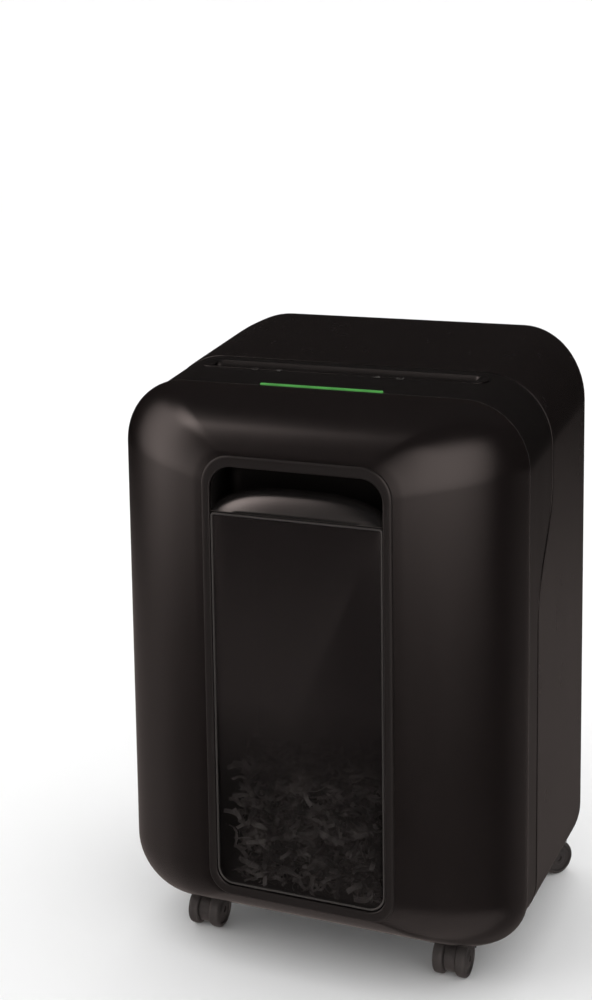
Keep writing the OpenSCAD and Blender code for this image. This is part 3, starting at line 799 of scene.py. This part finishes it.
@dataclass
class CabinetForm:
    """Measures shared by the console band and the rear shell."""

    console: Span = node_box("console_band")
    rear: Span = node_box("rear_shell")
    cover: Span = node_box("front_cover")
    slope: float = math.tan(math.radians(7.3))
    r_high: float = 56.0
    r_low: float = 46.0
    r_back: float = 60.0
    r_back_top: float = 26.0
    r_back_low: float = 14.0
    least_r_high: float = 16.0
    least_r_low: float = 14.0
    r_high_loss: float = 0.62
    r_low_loss: float = 0.5
    seam_low: float = 26.0
    seam_high: float = 68.0
    bend_start: float = 300.0
    bend_height: float = 90.0
    half_gap: float = 0.35

    @property
    def rim_y(self) -> float:
        """Depth of the cover's rim."""
        return self.cover.high.y

    @property
    def front_top(self) -> float:
        """Height of the top surface at the rim."""
        return self.cover.high.z

    def top(self, y: float) -> float:
        """Height of the sloping top surface at a depth."""
        return self.front_top + self.slope * (y - self.rim_y)

    def outline(self, y: float, inset: float = 0.0) -> Outline:
        """The cabinet's upright section at a depth.

        Args:
            y: the depth.
            inset: distance inside the outer surface.

        Returns:
            The section.
        """
        back = self.rear.high.y
        hw, low, high = self.rear.high.x, self.rear.low.z, self.top(y)
        corner = back - self.r_back
        if y > corner:
            hw += -self.r_back + math.sqrt(max(0.0, self.r_back**2 - (y - corner) ** 2))
        tilt = math.atan(self.slope)
        centre = back - self.r_back_top
        if y > centre - self.r_back_top * math.sin(tilt):
            rise = math.sqrt(max(0.0, self.r_back_top**2 - (y - centre) ** 2))
            high = self.top(centre) - self.r_back_top / math.cos(tilt) + rise
        low_corner = back - self.r_back_low
        if y > low_corner:
            low += self.r_back_low - math.sqrt(max(0.0, self.r_back_low**2 - (y - low_corner) ** 2))
        lost = self.rear.high.x - hw
        r_high = max(self.least_r_high, self.r_high - self.r_high_loss * lost)
        r_low = max(self.least_r_low, self.r_low - self.r_low_loss * lost)
        return Outline(hw, low, high, r_high, r_low, corner_steps=16, side_steps=20).grown(-inset)

    def seam(self, z: float) -> float:
        """Depth of the seam between console and rear shell at a height."""
        share = smooth((z - self.bend_start) / self.bend_height)
        return self.rim_y + mix(self.seam_low, self.seam_high, share)

    def ring(self, depth: Callable[[float], float], inset: float = 0.0) -> Ring:
        """A ring whose depth depends on the height.

        Args:
            depth: gives the depth at a height.
            inset: distance inside the outer surface.

        Returns:
            The ring's points.
        """
        start = self.outline(self.rim_y, inset).points()
        made = []
        for k, (x, z) in enumerate(start):
            for _ in range(3):
                y = depth(z)
                x, z = self.outline(y, inset).points()[k]
            made.append((x, y, z))
        return made


@dataclass
class ConsoleBand:
    """Band behind the cover: console deck with paper slot, narrowing to a strip down the sides."""

    form: CabinetForm
    funnel: Span = node_box("slot_funnel")
    wall: float = 2.6
    sunk: float = 0.5
    hole_half_w: float = 114.0
    hole_half_d: float = 9.0

    def build(self) -> None:
        """Builds the band with its hole for the slot funnel."""
        form = self.form
        first = form.console.low.y
        slot_y = self.funnel.middle.y
        full = form.rim_y + form.seam_high - form.half_gap - first
        marks = [0.0, 0.7, 4.0, 14.0, slot_y - self.hole_half_d - first, slot_y - first,
                 slot_y + self.hole_half_d - first, full - 5.0, full - 0.8, full]
        rows_at = [m / full for m in marks]
        insets = [self.sunk + 0.6, self.sunk] + [self.sunk] * (len(marks) - 3) + [self.sunk + 0.35]
        mesh = Mesher("console_skin")
        rings = []
        for share, inset in zip(rows_at, insets):
            depth = lambda z, s=share: mix(first, form.seam(z) - form.half_gap, s)
            rings.append(mesh.ring(form.ring(depth, inset)))
        rings += [mesh.ring(form.ring(lambda z, d=d: form.seam(z) + d, i))
                  for d, i in ((-form.half_gap, 2.2), (3.5, 2.2), (3.5, 4.2))]
        wide = self.hole_half_w * MM

        def cut(i: int, j: int) -> bool:
            """Whether a quad lies in the slot's hole.

            Args:
                i: the quad's row.
                j: its column.

            Returns:
                True for a quad of the hole.
            """
            if i not in (4, 5):
                return False
            a, b = rings[i][j].co, rings[i][(j + 1) % len(rings[i])].co
            deck = (form.front_top - 12) * MM
            return a.z > deck and max(abs(a.x), abs(b.x)) <= wide + 1e-6

        mesh.skin(rings, skip=cut)
        piece = mesh.finish(Look.CONSOLE_BLACK, "cabinet", ["console_band"], 50)
        thicken(piece, self.wall)
        even_shading(piece)


@dataclass
class RearShell:
    """Body of the cabinet behind the seam, closed by the back with its openings."""

    form: CabinetForm
    grille: Span = node_box("vent_grille")
    inlet: Span = node_box("cord_inlet")
    screws: Span = node_box("shell_screws")
    wall: float = 2.6
    screw_r: float = 3.6
    screw_inset: float = 3.5
    inlet_r: float = 9.2
    bend_steps: int = 26

    def build(self) -> None:
        """Builds the shell with holes for grille, cord inlet and screws."""
        form = self.form
        back = form.rear.high.y
        lead = ((form.half_gap, 2.6), (form.half_gap, 0.9), (0.6, 0.3), (1.2, 0.0))
        rings = [form.ring(lambda z, d=d: form.seam(z) + d, inset) for d, inset in lead]
        bend = back - form.r_back
        for share in (0.12, 0.3, 0.55, 0.8):
            rings.append(form.ring(lambda z, s=share: mix(form.seam(z) + 1.2, bend, s)))
        for i in range(self.bend_steps + 1):
            y = bend + form.r_back * math.sin(math.radians(90 * i / self.bend_steps))
            rings.append(form.outline(y).ring(y))
        mesh = Mesher("rear_shell_skin")
        rows = [mesh.ring(r) for r in rings]
        mesh.skin(rows)
        low, high = self.screws.low.z + self.screw_inset, self.screws.high.z - self.screw_inset
        g = self.grille
        holes = [[(g.low.x, back, g.low.z), (g.high.x, back, g.low.z), (g.high.x, back, g.high.z),
                  (g.low.x, back, g.high.z)],
                 disc_ring((self.inlet.middle.x, back, self.inlet.middle.z), self.inlet_r)]
        x = self.screws.high.x - self.screw_inset
        holes += [disc_ring((sx, back, sz), self.screw_r, 20) for sx in (-x, x) for sz in (low, high)]
        mesh.fill([rows[-1], *(mesh.ring(h) for h in holes)])
        piece = mesh.finish(Look.CABINET_BLACK, "cabinet", ["rear_shell"], 50)
        thicken(piece, self.wall)
        even_shading(piece)


@dataclass
class PaperSlot:
    """Flared funnel of the paper throat and indicator light on the console deck."""

    form: CabinetForm
    funnel: Span = node_box("slot_funnel")
    strip: Span = node_box("light_strip")
    slot_half_w: float = 115.0
    slot_half_d: float = 4.5
    flare_half_d: float = 11.0
    pipe_back: float = 3.0

    def deck(self) -> Matrix:
        """Transform from flat deck coordinates, with y behind the rim, to the sloping deck."""
        tilt = Matrix.Rotation(math.atan(self.form.slope), 4, "X")
        return Matrix.Translation((0, self.form.rim_y, self.form.front_top)) @ tilt

    def stadium(self, half_w: float, half_d: float, lift: float, back: float) -> Ring:
        """A ring with round ends on the deck.

        Args:
            half_w: half its length.
            half_d: half its width.
            lift: height above the deck.
            back: distance of its middle behind the rim.

        Returns:
            The ring's points.
        """
        place = self.deck()
        made = []
        for side, start in ((1, -90), (-1, 90)):
            for i in range(13):
                a = math.radians(start + 180 * i / 12)
                across = side * (half_w - half_d) + half_d * math.cos(a)
                made.append(tuple(place @ Vector((across, back + half_d * math.sin(a), lift))))
        return made

    def build(self) -> None:
        """Builds funnel and indicator."""
        back = (self.funnel.middle.y - self.form.rim_y) / math.cos(math.atan(self.form.slope)) + 0.3
        hw, hd = self.funnel.high.x, self.flare_half_d
        flare = ((3, 3, -6.0), (0.4, 0.4, -1.5), (0, 0, -0.5), (0.15, 0.15, 0.0), (0.6, 0.6, 0.25),
                 (2.0, 2.0, 0.35), (5.5, 2.6, 0.1), (6.6, 3.4, -0.8), (7.8, 4.6, -2.6))
        sections = [(hw - a, hd - b, lift) for a, b, lift in flare]
        throat = ((0, -6.0), (0, -12.0), (2, -12.0))
        sections += [(self.slot_half_w + a, self.slot_half_d + a, lift) for a, lift in throat]
        mesh = Mesher("slot_funnel_moulding")
        mesh.loft([self.stadium(a, b, c, back) for a, b, c in sections])
        mesh.finish(Look.CONSOLE_BLACK, "cabinet", ["slot_funnel"], 50)
        half = self.strip.high.x
        bar = Mesher("indicator_light_pipe")
        levels = [(half, 1.5, -0.6), (half, 1.5, 0.2), (half - 0.15, 1.35, 0.5), (half - 0.5, 1.0, 0.6)]
        bar.loft([self.stadium(a, b, c, self.pipe_back) for a, b, c in levels], caps=True)
        bar.finish(Look.INDICATOR_GREEN, "cabinet", ["light_strip"], 60)


@dataclass
class WindowUnit:
    """Smoked window of the bin with its fine bright edging."""

    pane: Span = node_box("bin_window")
    edge: Span = node_box("window_trim")
    corner: float = 12.0

    def outline(self, grow: float) -> Outline:
        """The pane's outline moved outwards."""
        return Outline(self.pane.high.x + grow, self.pane.low.z - grow, self.pane.high.z + grow,
                       1.0 + max(0.0, grow), self.corner + grow)

    def build(self) -> None:
        """Builds pane and edging."""
        front, back = self.pane.low.y, self.pane.high.y
        mesh = Mesher("smoked_pane")
        levels = [(0.0, back), (0.0, front + 0.5), (-0.15, front + 0.15), (-0.6, front)]
        mesh.loft([self.outline(g).ring(y) for g, y in levels], caps=True)
        mesh.finish(Look.SMOKED_WINDOW, "bin", ["bin_window"], 30)
        trim = Mesher("window_edging")
        lead = self.edge.low.y
        profile = [(0.15, back), (0.15, lead + 0.6), (0.5, lead + 0.1), (0.95, lead), (1.4, lead + 0.1),
                   (1.75, lead + 0.6), (1.75, back)]
        trim.loft([self.outline(g).ring(y) for g, y in profile], closed=True)
        trim.finish(Look.TRIM_GREY, "bin", ["window_trim"], 70)


@dataclass
class HandleUnit:
    """Finger recess above the window, with the arched gloss lip."""

    pocket: Span = node_box("handle_pocket")
    lip: Span = node_box("handle_lip")
    wall: float = 2.4
    pocket_wall: float = 3.0
    lip_rise: float = 19.5
    lip_foot: float = 3.0
    ramp_turn: float = 78.0
    across: int = 48
    along: int = 14
    back_curve: float = 8.0

    def build(self) -> None:
        """Builds recess and lip."""
        inset = self.pocket_wall
        front, back = self.pocket.low.y, self.pocket.high.y - inset
        hole = Outline(self.pocket.high.x - inset, self.pocket.low.z + inset, self.pocket.high.z - inset,
                       18, 2.5, corner_steps=10, side_steps=6, deck_steps=10)
        mesh = Mesher("handle_recess")
        curve = self.back_curve
        rows = [mesh.ring(hole.ring(front)), mesh.ring(hole.ring(back - curve))]
        for a in (20, 40, 60, 75, 90):
            turn = math.radians(a)
            inset = curve * (1 - math.cos(turn))
            level = replace(hole, half_width=hole.half_width - inset, low=hole.low + inset * 0.3,
                            high=hole.high - inset, r_high=16)
            rows.append(mesh.ring(level.ring(back - curve + curve * math.sin(turn))))
        mesh.skin(rows)
        mesh.cap(rows[-1])
        # The recess is dressed in painted shade, darker than the cover round it.
        piece = mesh.finish(Look.POCKET_BLACK, "bin", ["handle_pocket"], 60)
        solid = piece.modifiers.new("wall", "SOLIDIFY")
        solid.thickness = self.wall * MM
        solid.offset = 1.0
        self.build_lip()

    def crest(self, x: float) -> float:
        """Height of the lip's top edge above its foot, at a place across it.

        Args:
            x: distance from the middle.

        Returns:
            The height.
        """
        half = self.lip.high.x
        share = min(1.0, abs(x) / half)
        return self.lip_foot + (self.lip_rise - self.lip_foot) * (1 - share**2.6) ** 0.6

    def build_lip(self) -> None:
        """Builds the lip: a concave ramp whose crest arches across the opening."""
        half, front, foot = self.lip.high.x, self.lip.low.y + 0.4, self.lip.low.z
        mesh = Mesher("handle_lip_moulding")
        sections = []
        for i in range(self.across + 1):
            x = half * math.sin(math.radians(-90 + 180 * i / self.across))
            top = self.crest(x)
            depth = 8 + 8.0 * (top / self.crest(0)) ** 0.8
            section = [(x, front + 1.0, foot), (x, front + 0.15, foot + 0.35), (x, front, foot + 1.0)]
            for k in range(1, self.along + 1):
                u = k / self.along
                bend = math.sin(math.radians(self.ramp_turn * u)) / math.sin(math.radians(self.ramp_turn))
                rise = 1.0 + (top - 1.0) * bend
                section.append((x, front + depth * u, foot + rise))
            end = section[-1]
            section += [(x, end[1] + 0.6, end[2] + 0.1), (x, end[1] + 1.3, end[2] - 0.3),
                        (x, end[1] + 1.6, end[2] - 1.2), (x, end[1] + 1.6, foot)]
            sections.append(section)
        mesh.loft(sections, caps=True)
        mesh.finish(Look.LIP_GLOSS, "bin", ["handle_lip"], 50)


@dataclass
class ShredHeap:
    """Cross-cut paper lying in the bin behind the window."""

    tub: Span = node_box("bin_tub")
    duct: Span = node_box("window_duct")
    seed: int = 7
    strips: int = 1500
    level: float = 172.0
    duct_half_w: float = 71.5
    strip_length: tuple[float, float] = (9, 22)
    strip_width: tuple[float, float] = (2.6, 4.2)
    foot_inset: float = 26

    def surface(self, x: float, y: float) -> float:
        """Height of the heap at a place in the bin.

        Args:
            x: across the bin.
            y: along the bin.

        Returns:
            The height.
        """
        waves = 9 * math.sin(x / 23.0 + 0.6) + 6 * math.sin(x / 9.5 + y / 30) + 5 * math.cos(y / 26.0)
        fall = 0.32 * max(0.0, y - self.duct.low.y - 30)
        return self.level + waves * 0.6 - 14 * smooth((abs(x) - 60) / 90) - fall

    def build(self) -> None:
        """Builds the heap's body and the loose strips in front of it."""
        rnd = random.Random(self.seed)
        floor = self.tub.low.z + 3.2
        front, rear = self.tub.low.y + 4, self.tub.high.y - 6
        half = self.tub.high.x - 5
        mesh = Mesher("shred_mound")
        nx, ny = 42, 26
        rows = []
        for j in range(ny + 1):
            y = mix(front, rear, j / ny)
            row = []
            for i in range(nx + 1):
                x = mix(-half, half, i / nx)
                row.append((x, y, self.surface(x, y) - 14 + rnd.uniform(-3, 3)))
            rows.append(mesh.ring(row))
        mesh.skin(rows, around=False)
        border = [*rows[0], *(r[-1] for r in rows[1:]), *reversed(rows[-1][:-1]),
                  *(r[0] for r in reversed(rows[1:-1]))]
        reach = half - self.foot_inset
        foot = mesh.ring((max(-reach, min(reach, v.co.x / MM)), v.co.y / MM, floor) for v in border)
        mesh.skin([border, foot])
        mesh.cap(foot)
        mesh.finish(Look.PAPER_SHRED, "bin", (), 80)
        self.build_strips(rnd)

    def build_strips(self, rnd: random.Random) -> None:
        """Scatters bent strips through the duct and over the heap.

        Args:
            rnd: the seeded source of chance.
        """
        mesh = Mesher("shred_strips")
        near = self.duct.low.y + 1.2
        for n in range(self.strips):
            in_duct = n % 5 != 0
            x = rnd.uniform(-62, 62) if in_duct else rnd.uniform(-120, 120)
            y = rnd.uniform(near + 9, near + 40) if in_duct else rnd.uniform(-60, 100)
            top = self.surface(x, y)
            low = self.duct.low.z + 9
            z = rnd.uniform(low, top) if in_duct else top - 12 + rnd.uniform(-4, 6)
            length, width = rnd.uniform(*self.strip_length), rnd.uniform(*self.strip_width)
            turn = Euler((rnd.uniform(0, 6.283), rnd.uniform(-0.7, 0.7), rnd.uniform(0, 6.283))).to_matrix()
            curl, twist = rnd.uniform(-0.09, 0.09), rnd.uniform(-0.05, 0.05)
            rows = []
            for s in range(6):
                t = (s / 5 - 0.5) * length
                lift = curl * t * t
                tilt = twist * t
                pair = []
                for side in (-0.5, 0.5):
                    p = Vector((t, side * width * math.cos(tilt), lift + side * width * math.sin(tilt)))
                    p = turn @ p + Vector((x, y, z))
                    p.y = max(near, p.y)
                    p.x = max(-self.duct_half_w, min(self.duct_half_w, p.x)) if in_duct else p.x
                    p.z = max(self.duct.low.z + 4.5, p.z)
                    pair.append(tuple(p))
                rows.append(mesh.ring(pair))
            mesh.skin(rows, around=False)
        mesh.finish(Look.PAPER_SHRED, "bin", (), 80)


@dataclass
class Caster:
    """One twin-wheel caster, dressed where the frame has it."""

    key: str
    half_wide: float = 4.5
    facets: int = 72

    def build(self) -> None:
        """Dresses the hood and builds both wheels with rounded treads and hub caps."""
        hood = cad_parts[f"caster_hood_{self.key}"]
        Look.CASTER_BLACK.dress(hood)
        soften(hood, 0.7)
        inner = Span.of(f"caster_inner_wheel_{self.key}").middle
        outer = Span.of(f"caster_outer_wheel_{self.key}").middle
        for name, here, other in (("inner", inner, outer), ("outer", outer, inner)):
            self.wheel(name, here, (here - other).normalized())

    def wheel(self, name: str, centre: Vector, axis: Vector) -> None:
        """Builds one wheel.

        Args:
            name: which of the two wheels.
            centre: its middle.
            axis: direction pointing away from the other wheel.
        """
        r, half = centre.z, self.half_wide
        turn = axis.to_track_quat("Z", "Y").to_matrix()
        inner = [(2.6, -half), (r - 3.0, -half), (r - 1.2, -half + 0.35), (r - 0.35, -half + 1.2),
                 (r, -half + 2.6)]
        tread = [(r, half - 2.6), (r - 0.35, half - 1.2), (r - 1.2, half - 0.35), (r - 2.6, half),
                 (r - 3.2, half - 0.15), (r - 3.7, half - 1.3), (r - 4.6, half - 1.5)]
        hub = [(7.6, half - 1.5), (6.6, half - 1.1), (5.8, half - 0.3), (5.0, half), (2.6, half)]
        mesh = Mesher(f"caster_{name}_tread_{self.key}")
        spokes = [2 * math.pi * i / self.facets for i in range(self.facets)]
        mesh.loft(([turn @ Vector((radius * math.cos(a), radius * math.sin(a), along)) + centre
                    for a in spokes] for radius, along in (*inner, *tread, *hub)), closed=True)
        mesh.finish(Look.WHEEL_BLACK, f"{name}_wheel_{self.key}", [f"caster_{name}_wheel_{self.key}"],
                    50)


class FrameDresser:
    """Gives the CAD nodes that stay their finishes and rounded edges."""

    LOOKS: dict[Look, str] = {
        Look.INNER_BLACK: "base_plate head_tray window_duct bin_tub tub_front_wall tub_back_wall switch_tab "
                          "bin_switch cord_inlet vent_grille sheet_sensor",
        Look.GUIDE_GREY: "front_guide rear_guide",
        Look.ICON_GREY: "touch_icons",
        Look.PLATED_STEEL: "gear_side_plate plain_side_plate tie_rods idler_axle shell_screws bin_screws",
        Look.HARD_STEEL: "front_cutters rear_cutters front_shaft rear_shaft motor_shaft front_comb rear_comb",
        Look.SPACER_PLASTIC: "front_spacers rear_spacers idler_gear left_runner right_runner",
        Look.GEAR_METAL: "drive_gear motor_pinion front_sync_gear rear_sync_gear",
        Look.BRONZE: "shaft_bushes",
        Look.MOTOR_PAINT: "motor_case",
        Look.BOARD_GREEN: "control_board",
    }
    ROUNDED: dict[float, str] = {
        0.3: "shell_screws control_board",
        0.4: "gear_side_plate plain_side_plate front_guide rear_guide switch_tab bin_switch",
        0.5: "head_tray",
        0.6: "vent_grille cord_inlet window_duct base_plate",
        0.7: "bin_tub tub_front_wall tub_back_wall",
        0.8: "motor_case left_runner right_runner",
    }

    def build(self) -> None:
        """Dresses every node that is still shown."""
        for look, names in self.LOOKS.items():
            for name in names.split():
                look.dress(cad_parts[name])
                LOG.info("%s dressed", name)
        for width, names in self.ROUNDED.items():
            for name in names.split():
                soften(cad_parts[name], width)


# ---------- studio ----------


@dataclass(frozen=True)
class SoftBox:
    """One rectangular studio lamp aimed at a point."""

    name: str
    place: Point
    aim: Point
    width: float
    height: float
    power: float
    colour: Colour = (1.0, 0.97, 0.94)

    def build(self) -> None:
        """Hangs the lamp."""
        lamp = bpy.data.lights.new(self.name, "AREA")
        lamp.shape = "RECTANGLE"
        lamp.size, lamp.size_y = self.width, self.height
        lamp.energy = self.power
        lamp.color = self.colour
        holder = bpy.data.objects.new(self.name, lamp)
        bpy.context.scene.collection.objects.link(holder)
        holder.location = self.place
        aim = Vector(self.aim) - Vector(self.place)
        holder.rotation_euler = aim.to_track_quat("-Z", "Y").to_euler()
        holder.visible_glossy = False


@dataclass(frozen=True)
class GlowPanel:
    """Soft-edged bright patch of the surround, seen only in gloss.

    Its bearing runs from the front towards +X, in degrees. Its height is the sine of the elevation.
    """

    left: float
    right: float
    low: float
    high: float
    level: float
    side_edge: float
    low_edge: float
    high_edge: float

    def glow(self, board: Board, around: Signal, height: Signal) -> Signal:
        """The panel's brightness in a direction.

        Args:
            board: the surround's node tree.
            around: bearing of the direction in radians.
            height: sine of its elevation.

        Returns:
            The brightness.
        """
        edges = ((around, math.radians(self.left), math.radians(self.side_edge)),
                 (around, math.radians(self.right), -math.radians(self.side_edge)),
                 (height, self.low, self.low_edge), (height, self.high, -self.high_edge))
        share = self.level
        for value, edge, width in edges:
            share = board.ramp(value, edge - width, edge + width, "SMOOTHSTEP") * share
        return share


@dataclass
class Studio:
    """Camera, floor, world and lamps."""

    eye: Point = (0.4900, -1.2810, 0.7267)
    azimuth: float = 23.063
    elevation: float = 8.201
    roll: float = -0.8025
    focal_px: float = 1679.2
    shift_y: float = -0.2
    frame_long: float = 1000.0
    surround: float = 1.38
    glow_far: float = 0.015
    glow_tint: Colour = (1.0, 0.84, 0.79)
    # Bearings, heights and level of each panel, then the softness of its sides, low and high edge.
    panels: tuple[GlowPanel, ...] = (
        GlowPanel(-82, -50, -0.245, 0.58, 1.7, 13, 0.06, 0.14),
        GlowPanel(-66, -43, 0.46, 0.80, 3.5, 10, 0.10, 0.10),
        GlowPanel(0, 44, -0.255, 0.50, 1.7, 13, 0.06, 0.14),
        GlowPanel(70, 175, -1.2, -0.24, 0.20, 22, 0.1, 0.10),
        GlowPanel(-175, -60, -1.2, -0.27, 0.24, 20, 0.1, 0.07),
        GlowPanel(-40, -14, -1.2, -0.1, 0.22, 9, 0.1, 0.15),
        GlowPanel(-20, 70, -1.2, -0.56, 0.5, 20, 0.1, 0.10),
    )
    lamps: tuple[SoftBox, ...] = (
        SoftBox("key_box", (-1.1, -1.5, 1.6), (0, -0.05, 0.3), 0.8, 0.8, 2.0),
    )

    def camera(self) -> None:
        """Makes the camera."""
        data = bpy.data.cameras.new("studio_camera")
        data.sensor_fit = "AUTO"
        data.sensor_width = 36.0
        data.lens = self.focal_px * data.sensor_width / self.frame_long
        data.shift_y = self.shift_y
        data.clip_start, data.clip_end = 0.05, 60.0
        holder = bpy.data.objects.new("studio_camera", data)
        bpy.context.scene.collection.objects.link(holder)
        az, el = math.radians(self.azimuth), math.radians(self.elevation)
        back = Vector((math.sin(az) * math.cos(el), -math.cos(az) * math.cos(el), math.sin(el)))
        level = (-back).to_track_quat("-Z", "Y").to_matrix()
        holder.rotation_euler = (level @ Matrix.Rotation(math.radians(self.roll), 3, "Z")).to_euler()
        holder.location = self.eye
        bpy.context.scene.camera = holder

    def floor(self) -> None:
        """Lays a round floor that sweeps up into a far wall."""
        mesh = bmesh.new()
        flat, sweep, height, count = 7.0, 3.0, 4.0, 64
        profile = [(flat * k / 6, 0.0) for k in range(1, 7)]
        for k in range(1, 9):
            turn = math.radians(90 * k / 8)
            profile.append((flat + sweep * math.sin(turn), sweep * (1 - math.cos(turn))))
        profile.append((flat + sweep, sweep + height))
        rows = []
        for radius, z in profile:
            rows.append([mesh.verts.new((radius * math.cos(a), radius * math.sin(a), z))
                         for a in (2 * math.pi * i / count for i in range(count))])
        mesh.faces.new(rows[0])
        for a, b in zip(rows, rows[1:]):
            for i in range(count):
                mesh.faces.new((a[i], a[(i + 1) % count], b[(i + 1) % count], b[i])).smooth = True
        data = bpy.data.meshes.new("studio_floor")
        mesh.to_mesh(data)
        mesh.free()
        ground = bpy.data.objects.new("studio_floor", data)
        bpy.context.scene.collection.objects.link(ground)
        Look.FLOOR.dress(ground)
        ground.visible_glossy = False

    def world(self) -> None:
        """Sets a pale surround that gloss sees as a dark room with soft panels and a pale floor."""
        world = bpy.data.worlds.new("studio_surround")
        world.use_nodes = True
        board = Board(world.node_tree)
        here = board.node("ShaderNodeTexCoord", result="Generated")
        x, y, height = (board.node("ShaderNodeSeparateXYZ", None, {0: here}, axis) for axis in range(3))
        around = board.node("ShaderNodeMath", {"operation": "ARCTAN2"}, {0: x, 1: 0 - y})
        level = self.glow_far
        for panel in self.panels:
            level = panel.glow(board, around, height).at_least(level)
        dim = board.node("ShaderNodeBackground", None, {"Color": (*self.glow_tint, 1), "Strength": level})
        bright = board.node("ShaderNodeBackground", None, {"Color": (1, 1, 1, 1), "Strength": self.surround})
        gloss = board.node("ShaderNodeLightPath", result="Is Glossy Ray")
        both = board.node("ShaderNodeMixShader", None, {0: gloss, 1: bright, 2: dim})
        board.node("ShaderNodeOutputWorld", None, {"Surface": both}, None)
        bpy.context.scene.world = world

    def build(self) -> None:
        """Sets the whole studio."""
        bpy.context.scene.view_settings.view_transform = "Standard"
        self.camera()
        self.floor()
        self.world()
        for lamp in self.lamps:
            lamp.build()
        LOG.info("studio set")


def main() -> None:
    """Builds the studio and the sub-assemblies in order."""
    logging.basicConfig(level=logging.INFO)
    Studio().build()
    form = CabinetForm()
    FrontCover().build()
    ConsoleBand(form).build()
    RearShell(form).build()
    PaperSlot(form).build()
    WindowUnit().build()
    HandleUnit().build()
    ShredHeap().build()
    for key in ("fl", "fr", "rl", "rr"):
        Caster(key).build()
    FrameDresser().build()


if __name__ == "__main__":
    main()
